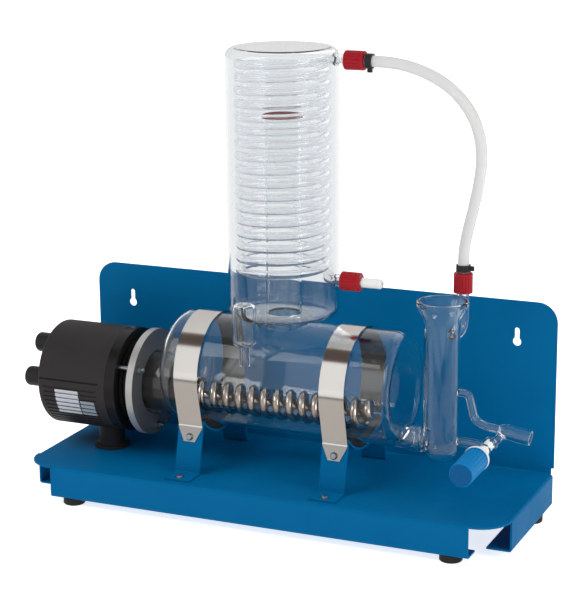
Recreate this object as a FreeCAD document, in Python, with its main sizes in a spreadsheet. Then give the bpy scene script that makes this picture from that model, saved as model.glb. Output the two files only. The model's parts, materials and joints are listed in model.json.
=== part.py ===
import FreeCAD, Part
import math
import os
import Sketcher
from FreeCAD import Placement, Rotation, Vector

# Glass water distiller: a horizontal glass boiler with an electric element, a
# coil condenser standing on it and a constant level device beside it, all on
# a folded steel stand. Lengths are millimetres.
#
# The drawing frame has x from the middle of the tray, y back from the tray's
# front face and z up from the top of its deck. The finished instrument's own
# origin is the middle of its footprint, at the surface that it stands on.

os.makedirs("parts", exist_ok=True)
doc = FreeCAD.newDocument("water_distiller")
sheet = doc.addObject("Spreadsheet::Sheet", "sizes")

DRIVING_SIZES = {
    # Folded stand
    "tray_length": 550, "tray_depth": 186, "tray_sheet": 2, "fold_radius": 3,
    "corner_radius": 34, "corner_relief": 1, "flange_height": 35,
    "front_lip": 23, "side_lip": 27, "panel_height": 188, "panel_corner": 22,
    "panel_relief": 4, "fold_strip": 20,
    "keyhole_spacing": 462, "keyhole_up": 143, "keyhole_radius": 4.75,
    "keyslot_radius": 2.75, "keyslot_rise": 12.75,
    # Rubber feet
    "foot_radius": 12, "foot_height": 8, "foot_chamfer": 1, "foot_recess": 4.5,
    "front_foot_x": 218, "front_foot_y": 13, "rear_foot_y": 150,
    # Screws and nuts
    "screw_radius": 2, "screw_head": 4, "screw_head_height": 2.6,
    "hole_clearance": 0.2, "lean_clearance": 0.6, "nut_across": 7,
    "nut_height": 3.2, "thread_gap": 0.05,
    # Boiler
    "boiler_y": 98, "boiler_up": 104, "boiler_radius": 61.5, "glass_wall": 2.8,
    "boiler_left": -127, "boiler_right": 138, "left_shoulder": 15,
    "right_shoulder": 12,
    "neck_up": 79.5, "neck_radius": 35, "neck_wall": 3, "bead_radius": 43,
    "bead_thick": 6.4, "riser_radius": 30,
    # Cradles, pads and straps
    "left_cradle_x": -90, "right_cradle_x": 78, "cradle_width": 29,
    "cradle_sheet": 2, "cradle_base": 62.5, "front_cradle_foot": 25.5,
    "rear_cradle_foot": 21.5,
    "cradle_angle": 46, "pad_thick": 6, "pad_angle": 41, "seat_gap": 0.2,
    "cradle_screw_out": 17.5, "strap_width": 28, "strap_sheet": 0.9,
    "strap_gap": 0.2, "strap_meets_leg": 52, "strap_tip": 34.5,
    "strap_screw_up": 39.5, "strap_taper": 15, "strap_tip_width": 14,
    # Condenser
    "condenser_x": -1.5, "jacket_radius": 59.4, "jacket_floor": 172,
    "jacket_top": 457, "jacket_wall": 2.5, "top_shoulder": 10,
    "floor_shoulder": 11, "inlet_up": 214.5, "outlet_up": 446,
    "vapour_radius": 19, "vapour_wall": 1.8, "vapour_top": 386,
    "vapour_foot": 158, "splash_ring": 2.2,
    "coil_radius": 46.5, "coil_tube": 4.5, "coil_turns": 17,
    "spout_x": -19.4, "spout_y": 35, "spout_radius": 12.3, "spout_wall": 2,
    "spout_foot": 150, "spout_top": 196, "tip_radius": 5.4, "tip_end": 129,
    # Screw-cap unions
    "spigot_radius": 6.3, "spigot_bore": 3.2, "spigot_length": 14.3,
    "spigot_socket": 10.2, "cap_radius": 10, "cap_length": 21, "cap_end": 2.5,
    "cap_gap": 0.3, "cap_grooves": 18, "nozzle_radius": 3.8,
    "nozzle_bore": 2.4, "nozzle_flange": 1.8, "barb_radius": 4.05,
    "free_length": 24, "free_nozzle": 5.2, "hose_nozzle": 15,
    "seal_thick": 1.8, "running_gap": 0.2, "inlet_cap_x": 65.6,
    "outlet_cap_x": 70,
    # Cooling hose and its clips
    "hose_radius": 6, "hose_bore": 4.2, "clip_width": 7, "clip_wall": 1.7,
    "clip_lug": 4,
    # Constant level device
    "level_x": 176.6, "level_radius": 19, "level_wall": 2, "level_foot": 31,
    "mouth_radius": 27.3, "mouth_up": 202.8, "flare_start": 183,
    "mouth_bead": 4.2,
    "link_up": 52, "link_radius": 12.5, "link_joint": 150, "link_gap": 0.5,
    "sleeve_wall": 2.2, "sleeve_length": 13.6,
    "supply_x": 187, "supply_y": 133, "supply_joins": 163, "supply_cap": 205,
    "supply_bend": 13,
    "overflow_radius": 4.2, "side_wall": 1.5, "overflow_up": 107,
    "waste_radius": 8.2, "waste_x": 240, "waste_end": 273.6, "waste_up": 72,
    "waste_fall": 9,
    # Drain tap
    "tap_x": 228, "tap_up": 52, "tap_tilt": 2, "barrel_radius": 7.6,
    "barrel_wall": 1.9, "barrel_back": 10, "barrel_front": 13,
    "drain_radius": 5, "stem_gap": 0.06, "stem_neck": 6, "collar_radius": 13.6,
    "collar_at": 36, "collar_thick": 3.4, "knob_radius": 13.2,
    "knob_front_radius": 12.6, "knob_end": 88, "knob_wall": 4.2,
    "knob_grooves": 20, "ring_wire": 0.8, "thread_pitch": 2,
    # Heater head, clamp and element
    "ring_right": -157, "ring_thick": 8, "ring_radius": 59, "ring_bore": 36,
    "stud_circle": 50.2, "stud_radius": 2.5, "stud_inside": 7.5,
    "stud_outside": 8, "stud_nut_across": 8, "stud_nut": 4.5,
    "seal_flange": 4, "seal_radius": 44, "plug_radius": 31.6,
    "plug_length": 38, "head_radius": 47, "head_thick": 4, "face_gap": 0.2,
    "element_up": 70, "element_tube": 4.1, "element_radius": 13.5,
    "element_pitch": 15, "element_turns": 13, "element_start": -99.4,
    # Heater cover
    "cover_radius": 58, "cover_wall": 3, "base_thick": 12, "base_step": 4,
    "base_opening": 30, "cover_left": -277, "cover_edge": 5,
    "rib_count": 14, "rib_pitch": 5.6, "rib_depth": 1, "rib_width": 2,
    "rib_inset": 8, "rib_length": 66,
    "collar_high_y": 85, "collar_high_up": 114, "collar_low_y": 60.5,
    "collar_low_up": 81, "reset_collar": 8.2, "collar_length": 9,
    "reset_cap": 11, "reset_cap_wall": 2,
    "reset_cap_length": 22.5, "cutout_radius": 10, "cutout_length": 14,
    "button_radius": 3, "button_length": 8, "block_width": 30,
    "block_height": 29, "block_length": 22,
    # Lead boot through the deck
    "boot_x": -212.4, "boot_y": 92, "boot_disc": 20, "boot_disc_thick": 3.5,
    "boot_neck": 14.5, "boot_bore": 6, "boot_spigot": 8.5, "boot_tail": 9,
}

for row, (name, amount) in enumerate(DRIVING_SIZES.items(), start=1):
    sheet.set("A%d" % row, name)
    sheet.set("B%d" % row, str(amount))
    sheet.setAlias("B%d" % row, name)
doc.recompute()


class Size:
    """A number together with the sheet formula that it comes from."""

    def __init__(self, number, formula):
        self.number = number
        self.formula = formula

    def joined(self, other, sign, number):
        return Size(number, "(%s %s %s)" % (self.formula, sign, wording(other)))

    def __float__(self):
        return float(self.number)

    def __add__(self, other):
        return self.joined(other, "+", self.number + float(other))

    def __sub__(self, other):
        return self.joined(other, "-", self.number - float(other))

    def __mul__(self, other):
        return self.joined(other, "*", self.number * float(other))

    def __truediv__(self, other):
        return self.joined(other, "/", self.number / float(other))

    def __radd__(self, other):
        return fixed(other) + self

    def __rsub__(self, other):
        return fixed(other) - self

    def __rmul__(self, other):
        return fixed(other) * self

    def __neg__(self):
        return self * -1


def wording(amount):
    return amount.formula if isinstance(amount, Size) else repr(float(amount))


def fixed(amount):
    return amount if isinstance(amount, Size) else Size(float(amount), repr(float(amount)))


def cosine(angle):
    return Size(math.cos(math.radians(float(angle))), "cos(%s)" % wording(angle))


def sine(angle):
    return Size(math.sin(math.radians(float(angle))), "sin(%s)" % wording(angle))


def root(amount):
    return Size(math.sqrt(float(amount)), "sqrt(%s)" % wording(amount))


class Sizes:
    """Reads every size from the sheet under its own name."""

    def __init__(self):
        for size_name in DRIVING_SIZES:
            number = float(getattr(sheet, size_name))
            setattr(self, size_name, Size(number, "sizes." + size_name))


s = Sizes()


def bind(thing, prop, amount):
    """Ties a property to its formula in the sheet."""
    thing.setExpression(prop, wording(amount))


# The chain of faces along the heater's axis, from the clamp ring leftwards.
ring_left = s.ring_right - s.ring_thick
bead_right = ring_left - s.face_gap
bead_left = bead_right - s.bead_thick
seal_right = bead_left - s.face_gap
seal_left = seal_right - s.seal_flange
head_right = seal_left - s.face_gap
head_left = head_right - s.head_thick
base_right = head_left - s.face_gap
base_left = base_right - s.base_thick
step_left = base_left - s.base_step
reset_cap_left = s.cover_left - s.face_gap - s.reset_cap_length

# Half sizes and levels that many pieces share.
half_length = s.tray_length / 2
lip_under = -s.flange_height
centre_x = (reset_cap_left + half_length) / 2
centre_y = s.tray_depth / 2
floor_up = lip_under - s.foot_height


def place(thing, x=0, y=0, z=0, turn=None):
    """Sets a piece at a point of the drawing frame."""
    if turn is not None:
        thing.Placement = Placement(Vector(0, 0, 0), turn)
    bind(thing, "Placement.Base.x", fixed(x) - centre_x)
    bind(thing, "Placement.Base.y", fixed(y) - centre_y)
    bind(thing, "Placement.Base.z", fixed(z) - floor_up)
    return thing


def new_body(label, x=0, y=0, z=0, turn=None):
    body = doc.addObject("PartDesign::Body", label)
    body.Label = label
    return place(body, x, y, z, turn)


def sketch_on(body, plane, offset=0):
    """A sketch on one of the body's own planes, moved along its normal."""
    origin_plane = next(f for f in body.Origin.OriginFeatures if f.Role == plane)
    sketch = body.newObject("Sketcher::SketchObject", "Sketch")
    sketch.AttachmentSupport = (origin_plane, "")
    sketch.MapMode = "FlatFace"
    bind(sketch, "AttachmentOffset.Base.z", offset)
    return sketch


def pin_point(sketch, shape, end, across, up):
    """Fixes a point of the sketch by its two distances from the origin."""
    for kind, amount in (("DistanceX", across), ("DistanceY", up)):
        index = sketch.addConstraint(
            Sketcher.Constraint(kind, -1, 1, shape, end, float(amount)))
        bind(sketch, "Constraints[%d]" % index, amount)


def outline(sketch, corners):
    """Draws a closed outline of corners (across, up) or (across, up, radius)."""
    flat = [Vector(float(c[0]), float(c[1]), 0) for c in corners]
    count = len(corners)
    starts, ends, arcs = [], [], []
    for i, corner in enumerate(corners):
        point, radius = flat[i], float(corner[2]) if len(corner) > 2 else 0.0
        if radius <= 0:
            starts.append(point)
            ends.append(point)
            arcs.append(None)
            continue
        back = (flat[i - 1] - point).normalize()
        ahead = (flat[(i + 1) % count] - point).normalize()
        half_turn = back.getAngle(ahead) / 2
        reach = radius / math.tan(half_turn)
        middle = point + (back + ahead).normalize() * (radius / math.sin(half_turn))
        starts.append(point + back * reach)
        ends.append(point + ahead * reach)
        arcs.append((middle, radius, back.cross(ahead).z < 0))
    lines = []
    for i in range(count):
        line = Part.LineSegment(ends[i], starts[(i + 1) % count])
        lines.append(sketch.addGeometry(line, False))
    for i, corner in enumerate(corners):
        before, after = lines[i - 1], lines[i]
        if arcs[i] is None:
            sketch.addConstraint(Sketcher.Constraint("Coincident", before, 2, after, 1))
            pin_point(sketch, after, 1, corner[0], corner[1])
            continue
        middle, radius, leftward = arcs[i]
        first, last = (starts[i], ends[i]) if leftward else (ends[i], starts[i])
        from_angle = math.atan2(first.y - middle.y, first.x - middle.x)
        to_angle = math.atan2(last.y - middle.y, last.x - middle.x)
        circle = Part.Circle(middle, Vector(0, 0, 1), radius)
        arc = sketch.addGeometry(Part.ArcOfCircle(circle, from_angle, to_angle), False)
        mark = sketch.addGeometry(Part.Point(flat[i]), True)
        near, far = (1, 2) if leftward else (2, 1)
        sketch.addConstraint(Sketcher.Constraint("Tangent", before, 2, arc, near))
        sketch.addConstraint(Sketcher.Constraint("Tangent", arc, far, after, 1))
        sketch.addConstraint(Sketcher.Constraint("PointOnObject", mark, 1, before))
        sketch.addConstraint(Sketcher.Constraint("PointOnObject", mark, 1, after))
        pin_point(sketch, mark, 1, corner[0], corner[1])
        index = sketch.addConstraint(Sketcher.Constraint("Radius", arc, radius))
        bind(sketch, "Constraints[%d]" % index, corner[2])


def circle(sketch, across, up, radius):
    middle = Vector(float(across), float(up), 0)
    shape = sketch.addGeometry(Part.Circle(middle, Vector(0, 0, 1), float(radius)), False)
    pin_point(sketch, shape, 3, across, up)
    index = sketch.addConstraint(Sketcher.Constraint("Radius", shape, float(radius)))
    bind(sketch, "Constraints[%d]" % index, radius)


def pad(body, sketch, length):
    feature = body.newObject("PartDesign::Pad", "Pad")
    feature.Profile = sketch
    bind(feature, "Length", length)
    body.Tip = feature
    doc.recompute()
    return feature


def cut(body, sketch, depth, forward=False):
    """Pockets the sketch into the body and makes sure that something went."""
    before = body.Shape.Volume
    feature = body.newObject("PartDesign::Pocket", "Pocket")
    feature.Profile = sketch
    feature.Reversed = forward
    bind(feature, "Length", depth)
    body.Tip = feature
    doc.recompute()
    if body.Shape.Volume >= before:
        raise ValueError("%s: a pocket cut nothing" % body.Label)
    return feature


def revolve(body, sketch, axis):
    feature = body.newObject("PartDesign::Revolution", "Revolution")
    feature.Profile = sketch
    feature.ReferenceAxis = (sketch, [axis])
    feature.Angle = 360
    body.Tip = feature
    doc.recompute()
    return feature


def repeat_around(body, feature, axis, count):
    """Copies a cut round one of the body's own axes."""
    pattern = body.newObject("PartDesign::PolarPattern", "PolarPattern")
    pattern.Originals = [feature]
    pattern.Axis = (next(f for f in body.Origin.OriginFeatures if f.Role == axis), [""])
    pattern.Angle = 360
    bind(pattern, "Occurrences", count)
    body.Tip = pattern
    doc.recompute()
    return pattern


def turned_x(label, corners, x=0, y=0, z=0, turn=None):
    """A piece turned about the x axis; corners are (along, radius)."""
    body = new_body(label, x, y, z, turn)
    sketch = sketch_on(body, "XZ_Plane")
    outline(sketch, corners)
    revolve(body, sketch, "H_Axis")
    return body


def turned_z(label, corners, x=0, y=0, z=0, turn=None):
    """A piece turned about the z axis; corners are (radius, up)."""
    body = new_body(label, x, y, z, turn)
    sketch = sketch_on(body, "XZ_Plane")
    outline(sketch, corners)
    revolve(body, sketch, "V_Axis")
    return body


def rod(label, radius, length, x, y, z, along):
    """A plain cylinder that starts at a point and runs along a direction."""
    piece = doc.addObject("Part::Cylinder", label)
    bind(piece, "Radius", radius)
    bind(piece, "Height", length)
    return place(piece, x, y, z, Rotation(Vector(0, 0, 1), Vector(*along)))


def joined(label, pieces):
    fuse = doc.addObject("Part::MultiFuse", label)
    fuse.Shapes = pieces
    doc.recompute()
    return fuse


def hollowed(label, outer, inner):
    """One solid with others taken out of it."""
    shell = doc.addObject("Part::Cut", label)
    shell.Label = label
    shell.Base = outer if not isinstance(outer, list) else joined(label + "_outside", outer)
    shell.Tool = inner if not isinstance(inner, list) else joined(label + "_inside", inner)
    doc.recompute()
    return shell


def group(label, pieces):
    """Identical fasteners kept as one node of separate solids."""
    compound = doc.addObject("Part::Compound", label)
    compound.Label = label
    compound.Links = pieces
    doc.recompute()
    return compound


def from_shape(label, shape):
    """A swept piece whose points are in the drawing frame."""
    feature = doc.addObject("Part::Feature", label)
    feature.Label = label
    feature.Shape = shape
    place(feature)
    doc.recompute()
    return feature


finished = []


def keep(piece):
    finished.append(piece)
    return piece


# Paths for bent tubes

def rounded_path(points, radii):
    """Straight runs joined by arcs that touch them."""
    spots = [Vector(*[float(v) for v in p]) for p in points]
    edges, last = [], spots[0]
    for i in range(1, len(spots) - 1):
        back = (spots[i - 1] - spots[i]).normalize()
        ahead = (spots[i + 1] - spots[i]).normalize()
        half_turn = back.getAngle(ahead) / 2
        reach = radii[i - 1] / math.tan(half_turn)
        bisector = (back + ahead).normalize()
        middle = spots[i] + bisector * (radii[i - 1] / math.sin(half_turn))
        start, end = spots[i] + back * reach, spots[i] + ahead * reach
        crown = middle - bisector * radii[i - 1]
        if (start - last).Length > 1e-6:
            edges.append(Part.LineSegment(last, start).toShape())
        edges.append(Part.Arc(start, crown, end).toShape())
        last = end
    edges.append(Part.LineSegment(last, spots[-1]).toShape())
    return Part.Wire(edges)


def swept(path, radius):
    """A round bar of the given radius along a path."""
    first = path.Edges[0]
    start = first.valueAt(first.FirstParameter)
    heading = first.tangentAt(first.FirstParameter)
    ring = Part.Wire(Part.Circle(start, heading, float(radius)).toShape())
    return path.makePipeShell([ring], True, False)


def biarc(start, start_way, end, end_way):
    """Two arcs that leave one point and reach another in the given directions."""
    chord = end - start
    ways = start_way + end_way
    spread = 2 * (1 - start_way.dot(end_way))
    along = chord.dot(ways)
    reach = (-along + math.sqrt(along * along + spread * chord.dot(chord))) / spread
    meeting = (start + start_way * reach + end - end_way * reach) * 0.5
    return [arc_from(start, start_way, meeting), arc_from(end, end_way * -1, meeting)]


def arc_from(start, way, end):
    """The arc that leaves a point in one direction and ends at another point."""
    chord = end - start
    across = chord - way * chord.dot(way)
    across.normalize()
    radius = chord.dot(chord) / (2 * chord.dot(across))
    middle = start + across * radius
    crown = middle + ((start + end) * 0.5 - middle).normalize() * radius
    if (end - start).dot(way) < 0:
        crown = middle - (crown - middle)
    return Part.Arc(start, crown, end).toShape()


def winding(centre, axis, right, up, radius, pitch, first_angle, last_angle, step=180):
    """Arcs along a helix, with the point and direction at each end of it."""
    def at(angle):
        turn = math.radians(angle)
        out = right * math.cos(turn) + up * math.sin(turn)
        way = up * math.cos(turn) - right * math.sin(turn)
        rise = pitch / (2 * math.pi * radius)
        point = centre + out * radius + axis * (pitch * angle / 360)
        return point, (way + axis * rise).normalize()

    edges, angle = [], first_angle
    while angle < last_angle - 1e-6:
        following = min(angle + step, last_angle)
        edges += biarc(*at(angle), *at(following))
        angle = following
    return edges, at(first_angle), at(last_angle)


def chained(edges):
    """One wire whose edges run head to tail from the first to the last."""
    return Part.Wire(Part.__sortEdges__(edges))


def least_gap(wire, tube, apart):
    """Least space between stretches of a tube that lie apart along it."""
    step = tube / 2
    points = wire.discretize(int(wire.Length / step))
    skip = int(apart / step)
    least = 1e9
    for i in range(0, len(points), 2):
        for other in points[i + skip::2]:
            span = abs(points[i].x - other.x) + abs(points[i].z - other.z)
            if span < 12 * tube:
                least = min(least, (points[i] - other).Length)
    return least - 2 * tube


# Folded stand

def make_stand():
    body = new_body("stand")
    flange_end = half_length - s.corner_radius - s.corner_relief
    side_start = s.corner_radius + s.corner_relief
    side_end = s.tray_depth - s.panel_relief
    side_fold = half_length - s.fold_radius
    rear_fold = s.tray_depth - s.fold_radius
    inner_fold = s.fold_radius - s.tray_sheet
    lip_over = lip_under + s.tray_sheet

    deck = sketch_on(body, "XY_Plane", -s.tray_sheet)
    outline(deck, [
        (-flange_end, s.fold_radius), (flange_end, s.fold_radius), (flange_end, 0),
        (half_length, 0, s.corner_radius), (half_length, side_start),
        (side_fold, side_start), (side_fold, rear_fold), (-side_fold, rear_fold),
        (-side_fold, side_start), (-half_length, side_start),
        (-half_length, 0, s.corner_radius), (-flange_end, 0)])
    pad(body, deck, s.tray_sheet)

    front = sketch_on(body, "YZ_Plane", -flange_end)
    outline(front, [
        (s.front_lip, lip_under), (0, lip_under, s.fold_radius),
        (0, 0, s.fold_radius), (s.fold_strip, 0), (s.fold_strip, -s.tray_sheet),
        (s.tray_sheet, -s.tray_sheet, inner_fold),
        (s.tray_sheet, lip_over, inner_fold), (s.front_lip, lip_over)])
    pad(body, front, flange_end * 2)

    for side in (-1, 1):
        flange = sketch_on(body, "XZ_Plane", -side_end)
        edge = half_length * side
        inside = (half_length - s.tray_sheet) * side
        outline(flange, [
            ((half_length - s.side_lip) * side, lip_under),
            (edge, lip_under, s.fold_radius), (edge, 0, s.fold_radius),
            ((half_length - s.fold_strip) * side, 0),
            ((half_length - s.fold_strip) * side, -s.tray_sheet),
            (inside, -s.tray_sheet, inner_fold), (inside, lip_over, inner_fold),
            ((half_length - s.side_lip) * side, lip_over)])
        pad(body, flange, side_end - side_start)

    rear = sketch_on(body, "YZ_Plane", -side_fold)
    panel_front = s.tray_depth - s.tray_sheet
    outline(rear, [
        (s.tray_depth - s.fold_strip, -s.tray_sheet),
        (s.tray_depth, -s.tray_sheet, s.fold_radius), (s.tray_depth, s.fold_strip),
        (panel_front, s.fold_strip), (panel_front, 0, inner_fold),
        (s.tray_depth - s.fold_strip, 0)])
    pad(body, rear, side_fold * 2)

    panel = sketch_on(body, "XZ_Plane", -s.tray_depth)
    outline(panel, [
        (-half_length, s.fold_radius * 2), (half_length, s.fold_radius * 2),
        (half_length, s.panel_height, s.panel_corner),
        (-half_length, s.panel_height, s.panel_corner)])
    pad(body, panel, s.tray_sheet)

    keyslot_top = s.keyhole_up + s.keyslot_rise
    hangers = sketch_on(body, "XZ_Plane", -s.tray_depth)
    slots = sketch_on(body, "XZ_Plane", -s.tray_depth)
    tops = sketch_on(body, "XZ_Plane", -s.tray_depth)
    for side in (-1, 1):
        across = s.keyhole_spacing * side / 2
        circle(hangers, across, s.keyhole_up, s.keyhole_radius)
        circle(tops, across, keyslot_top, s.keyslot_radius)
        outline(slots, [
            (across - s.keyslot_radius, s.keyhole_up),
            (across + s.keyslot_radius, s.keyhole_up),
            (across + s.keyslot_radius, keyslot_top),
            (across - s.keyslot_radius, keyslot_top)])
    for opening in (hangers, slots, tops):
        cut(body, opening, s.tray_sheet * 2, forward=True)

    screw_hole = s.screw_radius + s.hole_clearance
    deck_holes = sketch_on(body, "XY_Plane")
    circle(deck_holes, s.boot_x, s.boot_y, s.boot_spigot + s.hole_clearance)
    for x in (s.left_cradle_x, s.right_cradle_x):
        for side in (-1, 1):
            out = (s.cradle_base + s.cradle_screw_out) * side
            circle(deck_holes, x, s.boiler_y + out, screw_hole)
    cut(body, deck_holes, s.tray_sheet * 2)

    lip_holes = sketch_on(body, "XY_Plane", lip_over + s.tray_sheet)
    for x, y in foot_places():
        circle(lip_holes, x, y, screw_hole)
    cut(body, lip_holes, s.tray_sheet * 3)
    return keep(body)


def foot_places():
    """Where the four feet stand, front pair first."""
    side = half_length - s.side_lip / 2
    return [(-s.front_foot_x, s.front_foot_y), (s.front_foot_x, s.front_foot_y),
            (-side, s.rear_foot_y), (side, s.rear_foot_y)]


# Fasteners: a screw's origin is under its head, and its shank runs along +z

def make_screw(label, grip, x, y, z, way):
    shank_end = grip + s.nut_height + 1.5
    turn = Rotation(Vector(0, 0, 1), Vector(*way))
    return turned_z(label, [
        (0, -s.screw_head_height), (s.screw_head * 0.75, -s.screw_head_height, 0.8),
        (s.screw_head, -s.screw_head_height * 0.35, 0.6), (s.screw_head, 0),
        (s.screw_radius, 0), (s.screw_radius, shank_end), (0, shank_end)],
        x, y, z, turn)


def make_nut(label, across_flats, bore, height, x, y, z, way):
    """A hexagon nut whose bearing face is at the given point."""
    body = new_body(label, x, y, z, Rotation(Vector(0, 0, 1), Vector(*way)))
    sketch = sketch_on(body, "XY_Plane")
    corner = across_flats / 2 / cosine(30)
    outline(sketch, [
        (corner * cosine(angle), corner * sine(angle)) for angle in range(0, 360, 60)])
    circle(sketch, 0, 0, bore + s.thread_gap)
    pad(body, sketch, height)
    return body


def make_feet():
    names = ("foot_front_left", "foot_front_right", "foot_rear_left", "foot_rear_right")
    screws, nuts = [], []
    hole = s.screw_radius + s.hole_clearance
    recess = s.screw_head + s.hole_clearance * 3
    grip = s.foot_height - s.foot_recess + s.tray_sheet
    for i, (name, (x, y)) in enumerate(zip(names, foot_places())):
        keep(turned_z(name, [
            (recess, 0), (s.foot_radius - s.foot_chamfer, 0),
            (s.foot_radius, s.foot_chamfer), (s.foot_radius, s.foot_height),
            (hole, s.foot_height), (hole, s.foot_recess), (recess, s.foot_recess)],
            x, y, floor_up))
        screws.append(make_screw("foot_screw_%d" % i, grip, x, y,
                                 floor_up + s.foot_recess, (0, 0, 1)))
        nuts.append(make_nut("foot_nut_%d" % i, s.nut_across, s.screw_radius,
                             s.nut_height, x, y, lip_under + s.tray_sheet, (0, 0, 1)))
    keep(group("foot_screws", screws))
    keep(group("foot_nuts", nuts))


# Cradles under the boiler, their pads and the straps over it

def band_below(body, inner, outer, width, angle):
    """A curved band under the boiler's axis, as wide each side as the angle."""
    ring = sketch_on(body, "YZ_Plane", -width / 2)
    circle(ring, 0, 0, inner)
    circle(ring, 0, 0, outer)
    pad(body, ring, width)
    away = outer * 2
    above = sketch_on(body, "YZ_Plane", -width)
    outline(above, [
        (0, 0), (away * sine(angle), -away * cosine(angle)), (away * 1.5, 0),
        (away * 1.5, away), (-away * 1.5, away), (-away * 1.5, 0),
        (-away * sine(angle), -away * cosine(angle))])
    cut(body, above, width * 2, forward=True)


def leg_face():
    """Base and top of a leg's outer face, out from and below the boiler's axis."""
    outer = s.boiler_radius + s.pad_thick + s.cradle_sheet
    return ((s.cradle_base, s.boiler_up),
            (outer * sine(s.cradle_angle), outer * cosine(s.cradle_angle)))


def leg_reach(up):
    """How far out of the boiler's axis plane a leg's outer face is at a level."""
    (base_out, base_down), (top_out, top_down) = leg_face()
    share = up / (base_down - top_down)
    return base_out + (top_out - base_out) * share


def make_cradle(label, x):
    body = new_body(label, x, s.boiler_y, s.boiler_up)
    inner = s.boiler_radius + s.pad_thick
    band_below(body, inner, inner + s.cradle_sheet, s.cradle_width, s.cradle_angle)
    (base_out, base_down), (top_out, top_down) = leg_face()
    for side in (-1, 1):
        leg = sketch_on(body, "YZ_Plane", -s.cradle_width / 2)
        foot = s.front_cradle_foot if side < 0 else s.rear_cradle_foot
        foot_out = (base_out + foot) * side
        inside = (base_out - s.cradle_sheet) * side
        outline(leg, [
            (foot_out, -base_down), (inside, -base_down, s.fold_radius),
            ((top_out - s.cradle_sheet) * side, -top_down), (top_out * side, -top_down),
            (base_out * side, -base_down + s.cradle_sheet, s.fold_radius - s.cradle_sheet),
            (foot_out, -base_down + s.cradle_sheet)])
        pad(body, leg, s.cradle_width)
    hole = s.screw_radius + s.hole_clearance
    feet = sketch_on(body, "XY_Plane", -s.boiler_up + s.cradle_sheet * 2)
    for side in (-1, 1):
        circle(feet, 0, (s.cradle_base + s.cradle_screw_out) * side, hole)
    cut(body, feet, s.cradle_sheet * 3)
    reach = leg_reach(s.strap_screw_up)
    for side in (-1, 1):
        start = reach + s.cradle_sheet * 2 if side < 0 else -(reach - s.cradle_sheet * 4)
        screw = sketch_on(body, "XZ_Plane", start)
        circle(screw, 0, s.strap_screw_up - s.boiler_up, hole + s.lean_clearance)
        cut(body, screw, s.cradle_sheet * 6)
    return keep(body)


def make_pad(label, x):
    body = new_body(label, x, s.boiler_y, s.boiler_up)
    outer = s.boiler_radius + s.pad_thick - s.seat_gap
    band_below(body, s.boiler_radius + s.seat_gap, outer, s.cradle_width, s.pad_angle)
    return keep(body)


def make_strap(label, x):
    body = new_body(label, x, s.boiler_y, s.boiler_up)
    inner = s.boiler_radius + s.strap_gap
    outer = inner + s.strap_sheet
    ring = sketch_on(body, "YZ_Plane", -s.strap_width / 2)
    circle(ring, 0, 0, inner)
    circle(ring, 0, 0, outer)
    pad(body, ring, s.strap_width)

    # The band leaves the glass where its tail is tangent to it and meets the leg.
    meet_out = leg_reach(s.strap_meets_leg) + s.strap_gap
    meet_down = s.boiler_up - s.strap_meets_leg
    span = meet_out * meet_out + meet_down * meet_down
    run = root(span - inner * inner)
    level = (meet_out * inner + meet_down * run) / span
    drop = (meet_down * inner - meet_out * run) / span
    away = outer * 1.5
    below = sketch_on(body, "YZ_Plane", -s.strap_width)
    outline(below, [
        (0, 0), (-away * level, -away * drop), (-away, -away * 1.5),
        (away, -away * 1.5), (away * level, -away * drop)])
    cut(body, below, s.strap_width * 2, forward=True)

    tip_out = leg_reach(s.strap_tip) + s.strap_gap
    tip_down = s.boiler_up - s.strap_tip
    for side in (-1, 1):
        tail = sketch_on(body, "YZ_Plane", -s.strap_width / 2)
        outline(tail, [
            (inner * level * side, -inner * drop),
            (meet_out * side, -meet_down), (tip_out * side, -tip_down),
            ((tip_out + s.strap_sheet) * side, -tip_down),
            ((meet_out + s.strap_sheet) * side, -meet_down),
            (outer * level * side, -outer * drop)])
        pad(body, tail, s.strap_width)

    hole = s.screw_radius + s.hole_clearance
    half_width = s.strap_width / 2
    half_tip = s.strap_tip_width / 2
    for side in (-1, 1):
        start = tip_out + s.strap_sheet * 4 if side < 0 else -(tip_out - s.strap_sheet * 8)
        ends = sketch_on(body, "XZ_Plane", start)
        circle(ends, 0, s.strap_screw_up - s.boiler_up, hole)
        for edge in (-1, 1):
            outline(ends, [
                (half_tip * edge, -tip_down - 1), ((half_width + 1) * edge, -tip_down - 1),
                ((half_width + 1) * edge, -tip_down + s.strap_taper),
                (half_width * edge, -tip_down + s.strap_taper),
                (half_tip * edge, -tip_down + 1)])
        cut(body, ends, s.strap_sheet * 14)
    return keep(body)


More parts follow.
